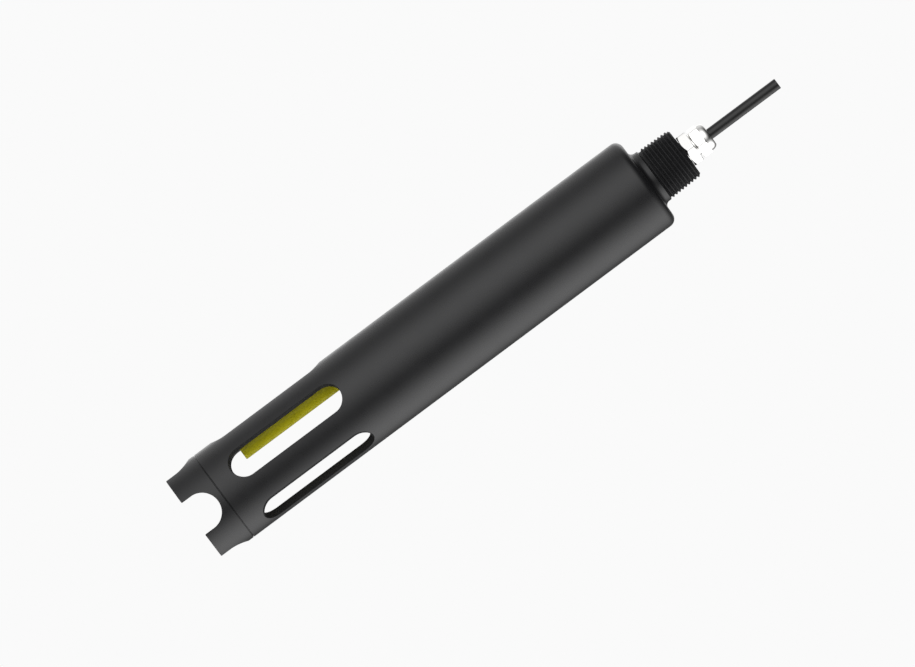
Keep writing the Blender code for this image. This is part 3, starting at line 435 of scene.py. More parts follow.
def bridge(shape, one, other):
    """Faces between two rings of points, either of which may be a single point on the axis."""
    count = max(len(one), len(other))
    for i in range(count):
        k = (i + 1) % count
        if len(one) == 1:
            shape.faces.new((one[0], other[k], other[i]))
        elif len(other) == 1:
            shape.faces.new((one[i], one[k], other[0]))
        else:
            shape.faces.new((one[i], one[k], other[k], other[i]))


def as_object(name, shape):
    """An object with a built shape as its mesh, its faces turned outwards."""
    bmesh.ops.recalc_face_normals(shape, faces=shape.faces)
    mesh = bpy.data.meshes.new(name)
    shape.to_mesh(mesh)
    shape.free()
    obj = bpy.data.objects.new(name, mesh)
    bpy.context.scene.collection.objects.link(obj)
    return obj


def lathe(name, rows, sides, closed=True, centre=(0.0, 0.0)):
    """A turned piece. Each row is (radius, height), and a radius may be a function of the angle.

    A closed section is a ring's, and an open one starts and ends on the axis.
    """
    shape = bmesh.new()
    rings = []
    for radius, height in rows:
        if radius == 0.0:
            rings.append([shape.verts.new((centre[0], centre[1], height))])
            continue
        ring = []
        for i in range(sides):
            angle = FULL_TURN * i / sides
            reach = radius(angle) if callable(radius) else radius
            x = centre[0] + reach * math.cos(angle)
            y = centre[1] + reach * math.sin(angle)
            ring.append(shape.verts.new((x, y, height)))
        rings.append(ring)
    pairs = list(zip(rings, rings[1:]))
    if closed:
        pairs.append((rings[-1], rings[0]))
    for one, other in pairs:
        bridge(shape, one, other)
    return as_object(name, shape)


def cut(obj, tools, operation="DIFFERENCE"):
    """Applies a Boolean with each tool in turn, and removes the tools."""
    for tool in tools:
        boolean = obj.modifiers.new(tool.name, "BOOLEAN")
        boolean.operation = operation
        boolean.solver = "EXACT"
        boolean.material_mode = "TRANSFER" if tool.data.materials else "INDEX"
        boolean.object = tool
    bpy.context.view_layer.update()
    graph = bpy.context.evaluated_depsgraph_get()
    mesh = bpy.data.meshes.new_from_object(obj.evaluated_get(graph))
    obj.modifiers.clear()
    obj.data = mesh
    for tool in tools:
        bpy.data.objects.remove(tool)


def round_shading(mesh, radii):
    """Gives faces on a cylinder round Z the cylinder's normals, so that long ones shade evenly."""
    normals = [corner.vector.copy() for corner in mesh.corner_normals]
    near = 0.03 * MM
    upright = 0.999
    for face in mesh.polygons:
        flat = face.normal.xy
        if flat.length < upright:
            continue
        places = [mesh.vertices[v].co for v in face.vertices]
        middle = sum((place.xy for place in places), Vector((0.0, 0.0))) / len(places)
        for radius in radii:
            if all(abs(place.xy.length - radius) < near for place in places):
                side = 1.0 if flat.dot(middle) > 0 else -1.0
                for loop in face.loop_indices:
                    place = mesh.vertices[mesh.loops[loop].vertex_index].co
                    normals[loop] = Vector((place.x, place.y, 0.0)).normalized() * side
    mesh.normals_split_custom_set(normals)


def dress(obj, material, body, nodes=(), radii=()):
    """Shades a piece, gives it its material, hides the CAD nodes it stands for, and lets it ride.

    Copper has no slot in the record.
    """
    mesh = obj.data
    if not any(mesh.materials):
        mesh.materials.clear()
        mesh.materials.append(material)
    mesh.shade_smooth()
    mesh.set_sharp_from_angle(angle=SMOOTH_ANGLE)
    if radii:
        round_shading(mesh, radii)
    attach(obj, body)
    if nodes:
        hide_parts(*nodes)


def make_cable():
    """The cable's free stretch, cut off square so that its jacket and cores show."""
    end = CABLE_START + CABLE_LENGTH
    floor = end - CORE_DEPTH
    edge = CABLE_EDGE
    rows = [(0.0, floor), (CABLE_R - JACKET_WALL, floor), (CABLE_R - JACKET_WALL, end)]
    rows += arc(CABLE_R - edge, end - edge, edge, 90, 0, SMALL_EDGE_STEPS)
    rows += [(CABLE_R, CABLE_START), (0.0, CABLE_START)]
    cable = lathe("cable_fine", rows, SHAFT_SIDES, closed=False)
    dress(cable, CABLE_JACKET, "probe", ["cable"])
    cores = []
    for colour, degrees in CORE_ANGLES.items():
        angle = math.radians(degrees)
        place = (CORE_CIRCLE_R * math.cos(angle), CORE_CIRCLE_R * math.sin(angle))
        low = floor + CORE_LIFT
        rows = [(CORE_WIRE_R, end), (CORE_R, end), (CORE_R, low), (CORE_WIRE_R, low)]
        core = lathe(f"core_end_{colour}", rows, CORE_SIDES, centre=place)
        dress(core, CORE_FINISHES[colour], "probe")
        wire_r = CORE_WIRE_R - WIRE_GAP
        rows = [(0.0, end), (wire_r, end), (wire_r, low), (0.0, low)]
        wire = lathe(f"conductor_end_{colour}", rows, WIRE_SIDES, closed=False, centre=place)
        dress(wire, COPPER, "probe")
        cores += [core, wire]


make_cable()


def grown(outline, width):
    """A closed outline moved out along its own normals; it runs counterclockwise."""
    moved = []
    for i, (u, v) in enumerate(outline):
        along = Vector(outline[(i + 1) % len(outline)]) - Vector(outline[i - 1])
        along.normalize()
        moved.append((u + along.y * width, v - along.x * width))
    return moved


def window_cutter(name, outline, inner_r, outer_r, rounding, angle):
    """Cuts a window through a round wall, with its edges rounded inside and outside.

    A rounding starts a little under the wall's face, and the cutter goes on along its slope.
    """
    sections = []
    for i in range(FILLET_STEPS + 1):
        bend = FILLET_END * (1 - i / FILLET_STEPS)
        sections.append((rounding * (1 - math.sin(bend)), rounding * (1 - math.cos(bend))))
    depth, grow = sections[0]
    past = (-depth, grow + 2 * depth * math.tan(FILLET_END))
    sections.insert(0, past)
    levels = [(inner_r + depth, grow) for depth, grow in sections]
    levels += [(outer_r - depth, grow) for depth, grow in reversed(sections)]
    levels.insert(0, (inner_r - rounding, past[1]))
    levels.append((outer_r + CUTTER_REACH, past[1]))
    shape = bmesh.new()
    rings = []
    for radius, grow in levels:
        ring = [
            shape.verts.new((math.sqrt(radius * radius - u * u), u, v))
            for u, v in grown(outline, grow)
        ]
        rings.append(ring)
    for one, other in zip(rings, rings[1:]):
        bridge(shape, one, other)
    shape.faces.new(rings[0])
    shape.faces.new(rings[-1])
    obj = as_object(name, shape)
    obj.data.materials.append(MILLED_PLASTIC)
    obj.rotation_euler.z = angle
    return obj


def ridge_height(height, angle, first, last, pitch, root, crest, depth):
    """How far a right-hand thread stands out at a height and angle; its ends fade in and out."""
    turns = (height - first) / pitch - angle / FULL_TURN
    off = turns - round(turns)
    crest_height = height - off * pitch
    flank = (pitch - root - crest) / 2
    share = ((pitch - root) / 2 - abs(off) * pitch) / flank
    share = min(1.0, max(0.0, share))
    fade = min(crest_height - first, last - crest_height) / (pitch / 3)
    return depth * share * min(1.0, max(0.0, fade))


def pipe_thread_radius(angle, height, core):
    """The tapered pipe thread's radius, with its core as the least and its end chamfered."""
    first = THREAD_START + THREAD_PITCH / 4
    last = THREAD_END + THREAD_PITCH
    root_r = THREAD_START_ROOT_R - (height - THREAD_START) * THREAD_TAPER
    ridge = ridge_height(
        height,
        angle - FIRST_SLOT_ANGLE,
        first,
        last,
        THREAD_PITCH,
        root=THREAD_ROOT,
        crest=THREAD_CREST,
        depth=THREAD_DEPTH,
    )
    steepness = THREAD_DEPTH / THREAD_END_CHAMFER
    cone = THREAD_END_ROOT_R - THREAD_EDGE + (THREAD_END - height) * steepness
    return max(core, min(root_r + ridge, cone))


def pipe_thread_rows():
    """The thread's rows from its rear end to the neck, where a short slope leads to its roots."""
    low = THREAD_START - THREAD_EDGE
    high = THREAD_END - THREAD_EDGE
    count = round((high - low) / THREAD_PITCH * THREAD_ROWS_A_TURN)
    rows = [(THREAD_END_ROOT_R - THREAD_EDGE, THREAD_END)]
    for i in range(count):
        height = high - (high - low) * i / count
        slope = (height - low) / (2 * THREAD_EDGE)
        core = NECK_R + (THREAD_START_ROOT_R - NECK_R) * slope if slope <= 1.0 else 0.0
        rows.append((partial(pipe_thread_radius, height=height, core=core), height))
    return rows


def tube_rows():
    """The tube's whole section, from the thread's end down the outside and up the bore."""
    rows = pipe_thread_rows()
    rows += [(NECK_R, THREAD_START - THREAD_EDGE)]
    fillet = NECK_FILLET
    rows += arc(NECK_R + fillet, SHOULDER_Z + fillet, fillet, 180, 270, NECK_STEPS)
    rounding = SHOULDER_ROUNDING
    rows += arc(BODY_R - rounding, SHOULDER_Z - rounding, rounding, 90, 0, SHOULDER_STEPS)
    edge = SEAM_CHAMFER
    rows += arc(BODY_R - edge, TUBE_FRONT + edge, edge, 0, -90, CHAMFER_STEPS)
    rows += [(TUBE_SEAT_R + SEAM_CHAMFER, TUBE_FRONT), (TUBE_SEAT_R, TUBE_FRONT + SEAM_CHAMFER)]
    rows += [(TUBE_SEAT_R, TUBE_SEAT_TOP), (CAGE_BORE_R, TUBE_SEAT_TOP)]
    rows += [(CAGE_BORE_R, CHAMBER_START), (CHAMBER_R, CHAMBER_START), (CHAMBER_R, CHAMBER_END)]
    cone_top = CHAMBER_END + (CHAMBER_R - GLAND_BORE_R) / 2
    spot = THREAD_END - SPOT_FACE_DEPTH
    rows += [(GLAND_BORE_R, cone_top), (GLAND_BORE_R, spot)]
    rows += [(SPOT_FACE_R, spot), (SPOT_FACE_R, THREAD_END)]
    return rows


def slot_outline():
    """A long slot with round ends."""
    half = SLOT_WIDTH / 2
    low = SLOT_START + half
    high = SLOT_START + SLOT_LENGTH - half
    rear = arc(0.0, high, half, 0, 180, SLOT_END_STEPS)
    return rear + arc(0.0, low, half, 180, 360, SLOT_END_STEPS)


def make_tube():
    tube = lathe("sensor_tube_fine", tube_rows(), BODY_SIDES)
    tube.data.materials.append(BLACK_PLASTIC)
    cutters = [
        window_cutter(
            f"slot_{i}",
            slot_outline(),
            CAGE_BORE_R,
            BODY_R,
            SLOT_ROUNDING,
            FIRST_SLOT_ANGLE + FULL_TURN * i / SLOT_COUNT,
        )
        for i in range(SLOT_COUNT)
    ]
    cut(tube, cutters)
    # The pipe thread is as matt as the milled edges
    milled = tube.data.materials.find(MILLED_PLASTIC.name)
    for face in tube.data.polygons:
        if face.center.z > THREAD_START and face.center.xy.length > SPOT_FACE_R:
            face.material_index = milled
    dress(tube, BLACK_PLASTIC, "probe", ["sensor_tube"], [BODY_R, CAGE_BORE_R])


def notch_outline():
    """A U notch that flares at the tips and opens downwards."""
    half = NOTCH_WIDTH / 2
    rounding = FOOT_ROUNDING
    flare = arc(half + rounding, rounding, rounding, NOTCH_FLARE_START, 180, NOTCH_FLARE_STEPS)
    foot = (flare[0][0] + 2 * rounding, -rounding)
    right = [foot] + flare
    left = [(-u, v) for u, v in reversed(right)]
    return right + arc(0.0, NOTCH_DEPTH - half, half, 0, 180, NOTCH_END_STEPS) + left


def spigot_radius(angle, height):
    """The crown's screw thread, cut into its spigot."""
    first = CROWN_GROOVE_LOW + GROOVE_WIDTH + SPIGOT_PITCH / 2
    last = SPIGOT_TOP - SPIGOT_CHAMFER - SPIGOT_PITCH / 4
    ridge = ridge_height(
        height,
        angle,
        first,
        last,
        SPIGOT_PITCH,
        root=SPIGOT_PITCH / 6,
        crest=SPIGOT_PITCH / 4,
        depth=SPIGOT_THREAD_DEPTH,
    )
    return SPIGOT_R - SPIGOT_THREAD_DEPTH + ridge


def crown_rows():
    """The crown's section: tips, outside, seam, spigot with its groove and thread, bore."""
    step = CAGE_BORE_R - SPIGOT_BORE_R
    tip = NOTCH_ROUNDING
    edge = SEAM_CHAMFER
    groove_high = CROWN_GROOVE_LOW + GROOVE_WIDTH
    rows = [(BODY_R, CROWN_HEIGHT - edge)]
    rows += arc(BODY_R - tip, tip, tip, 0, -90, FILLET_STEPS)
    rows += arc(CAGE_BORE_R + tip, tip, tip, -90, -180, FILLET_STEPS)
    rows += [(CAGE_BORE_R, CROWN_HEIGHT - step - edge)]
    rows += [(SPIGOT_BORE_R, CROWN_HEIGHT - edge), (SPIGOT_BORE_R, SPIGOT_TOP)]
    rows += [(SPIGOT_R - SPIGOT_THREAD_DEPTH - SPIGOT_CHAMFER, SPIGOT_TOP)]
    low = groove_high + SPIGOT_CHAMFER
    high = SPIGOT_TOP - SPIGOT_CHAMFER
    count = round((high - low) / SPIGOT_PITCH * THREAD_ROWS_A_TURN)
    for i in range(count + 1):
        height = high - (high - low) * i / count
        rows.append((partial(spigot_radius, height=height), height))
    rows += [(SPIGOT_R, groove_high + SPIGOT_CHAMFER / 2), (SPIGOT_R, groove_high)]
    rows += [(SPIGOT_R - GROOVE_DEPTH, groove_high), (SPIGOT_R - GROOVE_DEPTH, CROWN_GROOVE_LOW)]
    rows += [(SPIGOT_R, CROWN_GROOVE_LOW), (SPIGOT_R, COLLAR_TOP)]
    rows += [(COLLAR_R, COLLAR_TOP), (COLLAR_R, CROWN_HEIGHT)]
    rows += arc(BODY_R - edge, CROWN_HEIGHT - edge, edge, 90, 0, CHAMFER_STEPS)[:-1]
    return rows


def make_crown():
    crown = lathe("crown_ring_fine", crown_rows(), BODY_SIDES)
    crown.data.materials.append(BLACK_PLASTIC)
    cutters = [
        window_cutter(
            f"notch_{i}",
            notch_outline(),
            CAGE_BORE_R,
            BODY_R,
            NOTCH_ROUNDING,
            FULL_TURN * i / NOTCH_COUNT,
        )
        for i in range(NOTCH_COUNT)
    ]
    cut(crown, cutters)
    dress(crown, BLACK_PLASTIC, "crown", ["crown_ring"], [BODY_R, CAGE_BORE_R])


def make_crown_o_ring():
    """The ring in the crown's groove. It turns with the probe and doesn't rise with it."""
    rows = arc(CROWN_RING_R, CROWN_RING_Z, CROWN_RING_SECTION_R, 0, 360, RING_STEPS)[:-1]
    ring = lathe("crown_o_ring_fine", rows, BODY_SIDES)
    dress(ring, BLACK_RUBBER, "crown_seal", ["crown_o_ring"])


def block(name, size, location):
    """A box cutter or tool, centred on a point."""
    bpy.ops.mesh.primitive_cube_add(size=1.0, location=location)
    obj = bpy.context.active_object
    obj.name = name
    for vertex in obj.data.vertices:
        vertex.co = Vector(a * b for a, b in zip(vertex.co, size))
    return obj


def electrode_places():
    """The three electrodes' axes, the first of them at -X."""
    angles = [math.pi + FULL_TURN * i / ELECTRODE_COUNT for i in range(ELECTRODE_COUNT)]
    return [
        (ELECTRODE_PITCH_R * math.cos(angle), ELECTRODE_PITCH_R * math.sin(angle))
        for angle in angles
    ]


def holder_rows():
    """The bulkhead's section, with a groove for each of its O-rings."""
    rows = [(0.0, HOLDER_REAR), (HOLDER_R - HOLDER_CHAMFER, HOLDER_REAR)]
    rows += [(HOLDER_R, HOLDER_REAR - HOLDER_CHAMFER)]
    for setback in reversed(HOLDER_GROOVE_SETBACKS):
        groove = HOLDER_FRONT + setback
        high = groove + HOLDER_GROOVE_WIDTH / 2
        low = groove - HOLDER_GROOVE_WIDTH / 2
        floor = HOLDER_R - HOLDER_GROOVE_DEPTH
        rows += [(HOLDER_R, high), (floor, high), (floor, low), (HOLDER_R, low)]
    rows += [(HOLDER_R, HOLDER_FRONT + HOLDER_CHAMFER)]
    rows += [(HOLDER_R - HOLDER_CHAMFER, HOLDER_FRONT), (0.0, HOLDER_FRONT)]
    return rows


def make_holder():
    """The bulkhead with its three stepped bores, and the tongue that carries the board."""
    holder = lathe("electrode_holder_fine", holder_rows(), BODY_SIDES, closed=False)
    root = (HOLDER_REAR - HOLDER_FRONT) / 2
    tongue = block(
        "tongue",
        (TONGUE_WIDTH, TONGUE_THICKNESS, TONGUE_LENGTH + root),
        (0.0, TONGUE_Y, HOLDER_REAR + (TONGUE_LENGTH - root) / 2),
    )
    cut(holder, [tongue], "UNION")
    cutters = []
    bore_r = ELECTRODE_R + CLEARANCE
    seat_r = FLANGE_R + CLEARANCE
    seat_z = ELECTRODE_REAR - FLANGE_LENGTH - CLEARANCE
    flare = BORE_FLARE
    for i, place in enumerate(electrode_places()):
        rows = [(0.0, HOLDER_REAR + root), (bore_r, HOLDER_REAR + root)]
        rows += [(bore_r, HOLDER_REAR + CLEARANCE), (seat_r, HOLDER_REAR + CLEARANCE)]
        rows += [(seat_r, seat_z), (bore_r, seat_z), (bore_r, HOLDER_FRONT + flare)]
        rows += [(bore_r + 2 * flare, HOLDER_FRONT - flare), (0.0, HOLDER_FRONT - flare)]
        cutters.append(lathe(f"bore_{i}", rows, SHAFT_SIDES, closed=False, centre=place))
    for i, x in enumerate(TONGUE_HOLES):
        bpy.ops.mesh.primitive_cylinder_add(
            vertices=HOLE_SIDES,
            radius=TONGUE_HOLE_R,
            depth=4 * TONGUE_THICKNESS,
            location=(x, TONGUE_Y, HOLDER_REAR + TONGUE_HOLE_RISE),
            rotation=(math.pi / 2, 0.0, 0.0),
        )
        hole = bpy.context.active_object
        hole.name = f"tongue_hole_{i}"
        cutters.append(hole)
    cut(holder, cutters)
    dress(holder, HOLDER_PLASTIC, "probe", ["electrode_holder"])


def shaft_top_rows():
    """The rear of an electrode: lead hole, flange and O-ring groove."""
    groove = ELECTRODE_REAR - O_RING_SETBACK
    floor = ELECTRODE_R - GROOVE_DEPTH
    high = groove + GROOVE_WIDTH / 2
    low = groove - GROOVE_WIDTH / 2
    rows = [(0.0, ELECTRODE_REAR - LEAD_DEPTH), (LEAD_HOLE_R, ELECTRODE_REAR - LEAD_DEPTH)]
    rows += [(LEAD_HOLE_R, ELECTRODE_REAR), (FLANGE_R, ELECTRODE_REAR)]
    rows += [(FLANGE_R, ELECTRODE_REAR - FLANGE_LENGTH)]
    rows += [(ELECTRODE_R, ELECTRODE_REAR - FLANGE_LENGTH)]
    rows += [(ELECTRODE_R, high), (floor, high), (floor, low), (ELECTRODE_R, low)]
    return rows


def make_tipped_electrode(name, material, place, tip, tip_material, tip_r, thickness):
    """A round electrode with a rounded edge, whose tip holds a flush disc."""
    edge = ELECTRODE_CHAMFER
    recess_r = tip_r + CLEARANCE
    recess_z = ELECTRODE_TIP + thickness + CLEARANCE
    rows = shaft_top_rows()
    rows += arc(ELECTRODE_R - edge, ELECTRODE_TIP + edge, edge, 0, -90, ELECTRODE_EDGE_STEPS)
    rows += [(recess_r, ELECTRODE_TIP), (recess_r, recess_z), (0.0, recess_z)]
    shaft = lathe(f"{name}_fine", rows, SHAFT_SIDES, closed=False, centre=place)
    dress(shaft, material, "probe", [name])
    edge = TIP_DISC_EDGE
    rows = [(0.0, ELECTRODE_TIP + thickness), (tip_r, ELECTRODE_TIP + thickness)]
    rows += arc(tip_r - edge, ELECTRODE_TIP + edge, edge, 0, -90, CHAMFER_STEPS)
    rows += [(0.0, ELECTRODE_TIP)]
    disc = lathe(f"{tip}_fine", rows, SHAFT_SIDES, closed=False, centre=place)
    dress(disc, tip_material, "probe", [tip])


def make_temperature_probe(place):
    """A steel sheath with a round tip, held in a plastic base."""
    socket_r = SHEATH_R + CLEARANCE
    edge = ELECTRODE_CHAMFER
    rows = shaft_top_rows()
    rows += arc(ELECTRODE_R - edge, BASE_FRONT + edge, edge, 0, -90, ELECTRODE_EDGE_STEPS)
    rows += [(socket_r, BASE_FRONT), (socket_r, SOCKET_TOP), (0.0, SOCKET_TOP)]
    base = lathe("temperature_base_fine", rows, SHAFT_SIDES, closed=False, centre=place)
    dress(base, HOLDER_PLASTIC, "probe", ["temperature_base"])
    top = SOCKET_TOP - CLEARANCE
    rows = [(0.0, top), (SHEATH_R, top)]
    rows += arc(0.0, ELECTRODE_TIP + SHEATH_R, SHEATH_R, 0, -90, DOME_STEPS)[:-1]
    rows += [(0.0, ELECTRODE_TIP)]
    sheath = lathe("temperature_sheath_fine", rows, SHAFT_SIDES, closed=False, centre=place)
    dress(sheath, STEEL, "probe", ["temperature_sheath"])


def hexagon(name, across_flats, low, high, turn=0.0):
    """A hexagon bar with slightly rounded corners, one of them towards -Y before its turn."""
    reach = (across_flats / 2 - HEX_CORNER) / math.cos(math.pi / 6)
    outline = []
    for i in range(6):
        corner = math.radians(60 * i - 90) + turn
        for step in range(SMALL_EDGE_STEPS + 1):
            angle = corner + math.radians(60 * step / SMALL_EDGE_STEPS - 30)
            outline.append(
                (
                    reach * math.cos(corner) + HEX_CORNER * math.cos(angle),
                    reach * math.sin(corner) + HEX_CORNER * math.sin(angle),
                )
            )
    shape = bmesh.new()
    rings = [[shape.verts.new((x, y, z)) for x, y in outline] for z in (low, high)]
    bridge(shape, *rings)
    shape.faces.new(rings[0])
    shape.faces.new(rings[1])
    return as_object(name, shape)


def screw_radius(angle, height, first, last, low_r, depth):
    """A straight thread's radius over its core."""
    root = GLAND_PITCH / 8
    crest = GLAND_PITCH / 6
    return low_r + ridge_height(height, angle, first, last, GLAND_PITCH, root, crest, depth)


def screw_rows(high, low, crest_r, depth, first, last):
    """Rows of a straight thread from its upper end to its lower end."""
    count = round((high - low) / GLAND_PITCH * THREAD_ROWS_A_TURN)
    rows = []
    for i in range(count + 1):
        height = high - (high - low) * i / count
        radius = partial(
            screw_radius, height=height, first=first, last=last, low_r=crest_r - depth, depth=depth
        )
        rows.append((radius, height))
    return rows


def make_gland_body():
    """The gland's hexagon, its neck's thread, and the screwed spigot in the probe's end."""
    corner_r = BODY_HEX / 2 / math.cos(math.pi / 6)
    face_r = BODY_HEX / 2 - HEX_FACE_EDGE
    hex_top = GLAND_Z + BODY_HEX_HEIGHT
    seat_z = NECK_TOP - GLAND_SEAT_DEPTH
    spigot_r = GLAND_BORE_R - CLEARANCE
    depth = GLAND_THREAD_DEPTH
    core_r = NECK_THREAD_R - depth
    high = NECK_TOP - NECK_THREAD_EDGE
    low = hex_top + 2 * NECK_THREAD_EDGE
    rows = [(core_r - NECK_THREAD_EDGE, NECK_TOP)]
    rows += screw_rows(high, low, NECK_THREAD_R, depth, hex_top, NECK_TOP)
    rows += [(core_r, hex_top), (face_r, hex_top)]
    rows += [(corner_r, hex_top - HEX_CHAMFER), (corner_r, GLAND_Z + BODY_HEX_CHAMFER)]
    rows += [(face_r, GLAND_Z), (spigot_r - depth, GLAND_Z)]
    high = GLAND_Z - GLAND_PITCH / 2
    low = GLAND_FOOT + HEX_CHAMFER
    rows += screw_rows(high, low, spigot_r, depth, low, high)
    rows += [(spigot_r - depth - HEX_CHAMFER, GLAND_FOOT), (CABLE_HOLE_R, GLAND_FOOT)]
    rows += [(CABLE_HOLE_R, seat_z - GLAND_SEAT_R + CABLE_HOLE_R), (GLAND_SEAT_R, seat_z)]
    rows += [(GLAND_SEAT_R, NECK_TOP)]
    body = lathe("gland_body_fine", rows, GLAND_SIDES)
    bar = hexagon("body_hexagon", BODY_HEX, GLAND_FOOT - CUTTER_REACH, NECK_TOP + CUTTER_REACH)
    cut(body, [bar], "INTERSECT")
    dress(body, NICKEL, "probe", ["gland_body"], [BODY_HEX / 2])


def make_gland_nut():
    """The compression nut: hexagon, dome, mouth, and its inner thread."""
    corner_r = NUT_HEX / 2 / math.cos(math.pi / 6)
    mouth = NUT_MOUTH_Z
    hex_top = mouth - NUT_DOME_HEIGHT
    dome_r = NUT_HEX / 2 - NUT_DOME_EDGE
    rows = arc(CABLE_HOLE_R + NUT_LIP, mouth - NUT_LIP, NUT_LIP, 180, 90, SMALL_EDGE_STEPS)
    for i in range(DOME_STEPS + 1):
        angle = math.pi / 2 * i / DOME_STEPS
        radius = NUT_MOUTH_R + (dome_r - NUT_MOUTH_R) * math.sin(angle)
        rows.append((radius, hex_top + NUT_DOME_HEIGHT * math.cos(angle)))
    rows += [(corner_r, hex_top - HEX_CHAMFER), (corner_r, NUT_Z + HEX_CHAMFER)]
    rows += [(NUT_HEX / 2 - HEX_FACE_EDGE, NUT_Z), (NUT_BORE_R + NUT_BORE_EDGE, NUT_Z)]
    high = NUT_Z + NUT_BORE_DEPTH
    inner = screw_rows(
        high - NUT_THREAD_RELIEF,
        NUT_Z + NUT_BORE_EDGE,
        NUT_BORE_R + GLAND_THREAD_DEPTH,
        GLAND_THREAD_DEPTH,
        NUT_Z,
        high,
    )
    rows += reversed(inner)
    claw_seat_r = CLAW_INNER_R + CLAW_WALL + CLEARANCE
    rows += [(NUT_BORE_R, high), (claw_seat_r, high + CLEARANCE)]
    rows += [(CABLE_HOLE_R, mouth - 2 * CLEARANCE)]
    nut = lathe("gland_nut_fine", rows, GLAND_SIDES)
    bar = hexagon("nut_hexagon", NUT_HEX, NUT_Z - CUTTER_REACH, mouth + CUTTER_REACH, NUT_ANGLE)
    cut(nut, [bar], "INTERSECT")
    dress(nut, NICKEL, "nut", ["gland_nut"])


def ring_rows(outer_r, inner_r, low, high, edge):
    """A ring's section with its four edges rounded."""
    rows = arc(outer_r - edge, high - edge, edge, 90, 0, CHAMFER_STEPS)
    rows += arc(outer_r - edge, low + edge, edge, 0, -90, CHAMFER_STEPS)
    rows += arc(inner_r + edge, low + edge, edge, -90, -180, CHAMFER_STEPS)
    rows += arc(inner_r + edge, high - edge, edge, 180, 90, CHAMFER_STEPS)
    return rows


def make_gland_inside():
    """The gasket under the gland, and the seal and claw that grip the cable."""
    rows = ring_rows(GASKET_R, GLAND_BORE_R, GASKET_Z, GASKET_TOP, GASKET_EDGE)
    gasket = lathe("gland_gasket_fine", rows, GLAND_SIDES)
    dress(gasket, BLACK_RUBBER, "probe", ["gland_gasket"])
    seal_r = CABLE_HOLE_R + SEAL_WALL
    rows = ring_rows(seal_r, CABLE_HOLE_R, CLAW_Z, CLAW_Z + SEAL_LENGTH, SEAL_EDGE)
    seal = lathe("gland_seal_fine", rows, GLAND_SIDES)
    dress(seal, BLACK_RUBBER, "probe", ["gland_seal"])
    top = CLAW_TOP
    outer_r = CLAW_INNER_R + CLAW_WALL
    rows = [(CLAW_INNER_R, top), (outer_r - CLAW_WALL / 2, top), (outer_r, top - CLAW_WALL)]
    rows += [(outer_r, CLAW_Z), (CLAW_INNER_R, CLAW_Z)]
    claw = lathe("gland_claw_fine", rows, GLAND_SIDES)
    cutters = []
    for i in range(CLAW_FINGERS // 2):
        size = (3 * outer_r, CLAW_SLIT, CLAW_TOP - CLAW_Z)
        slit = block(f"claw_slit_{i}", size, (0.0, 0.0, top))
        slit.rotation_euler.z = FULL_TURN * i / CLAW_FINGERS
        cutters.append(slit)
    cut(claw, cutters)
    dress(claw, NYLON, "claw", ["gland_claw"])


make_tube()
make_crown()
make_crown_o_ring()
make_holder()
nitrate_place, reference_place, temperature_place = electrode_places()
make_tipped_electrode(
    "nitrate_electrode",
    OLIVE_PLASTIC,
    nitrate_place,
    "nitrate_membrane",
    MEMBRANE,
    MEMBRANE_R,
    MEMBRANE_THICKNESS,
)
make_tipped_electrode(
    "reference_electrode",
    WHITE_PLASTIC,
    reference_place,
    "reference_junction",
    CERAMIC,
    JUNCTION_R,
    JUNCTION_THICKNESS,
)
make_temperature_probe(temperature_place)
make_gland_body()
make_gland_nut()
make_gland_inside()

# Finishes for the pieces that keep the solids' own meshes
KEPT = {
    "holder_o_ring_front": BLACK_RUBBER,
    "holder_o_ring_rear": BLACK_RUBBER,
    "nitrate_o_ring": BLACK_RUBBER,
    "reference_o_ring": BLACK_RUBBER,
    "temperature_o_ring": BLACK_RUBBER,
    "nitrate_lead": LEAD_GREY,
    "reference_lead": LEAD_GREY,
    "temperature_lead": LEAD_GREY,
    "circuit_board": BOARD_GREEN,
    "board_screw_left": STEEL,
    "board_screw_right": STEEL,
    "rear_board_support": NYLON,
    "electrode_connector": CONNECTOR_WHITE,
    "temperature_connector": CONNECTOR_WHITE,
    "cable_connector": CONNECTOR_WHITE,
    "amplifier_chip": CHIP_BLACK,
    "processor_chip": CHIP_BLACK,
    "transceiver_chip": CHIP_BLACK,
    "filter_capacitor": STEEL,
    "cable_inside": CABLE_JACKET,
    "core_red": CORE_FINISHES["red"],
    "core_black": CORE_FINISHES["black"],
    "core_yellow": CORE_FINISHES["yellow"],
    "core_blue": CORE_FINISHES["blue"],
}
for name, material in KEPT.items():
    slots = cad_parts[name].data.materials
    slots.clear()
    slots.append(material)


def make_stage():
    """A light table as the floor, as bright as the surround."""
    bpy.ops.mesh.primitive_circle_add(
        vertices=FLOOR_SIDES, radius=FLOOR_R, fill_type="NGON", location=(0.0, 0.0, -FLOOR_GAP)
    )
    floor = bpy.context.active_object
    floor.name = "floor"
    material, nodes, _ = new_material("light_table")
    set_up(
        nodes["Principled BSDF"],
        Base_Color=(0.0, 0.0, 0.0, 1.0),
        Roughness=1.0,
        Specular_IOR_Level=0.0,
        Emission_Color=(1.0, 1.0, 1.0, 1.0),
        Emission_Strength=SURROUND,
    )
    floor.data.materials.append(material)
    floor.visible_glossy = False


def studio_radiance(azimuth):
    """The radiance of the dim room and its soft panels together, at an azimuth in degrees."""
    radiance = ROOM_RADIANCE
    for middle, half_width, level in (KEY_PANEL, FILL_PANEL, SIDE_PANEL, REAR_PANEL):
        off = abs((azimuth - middle + 180) % 360 - 180)
        if off < half_width:
            radiance += level * math.cos(math.pi / 2 * off / half_width) ** 2
    return radiance


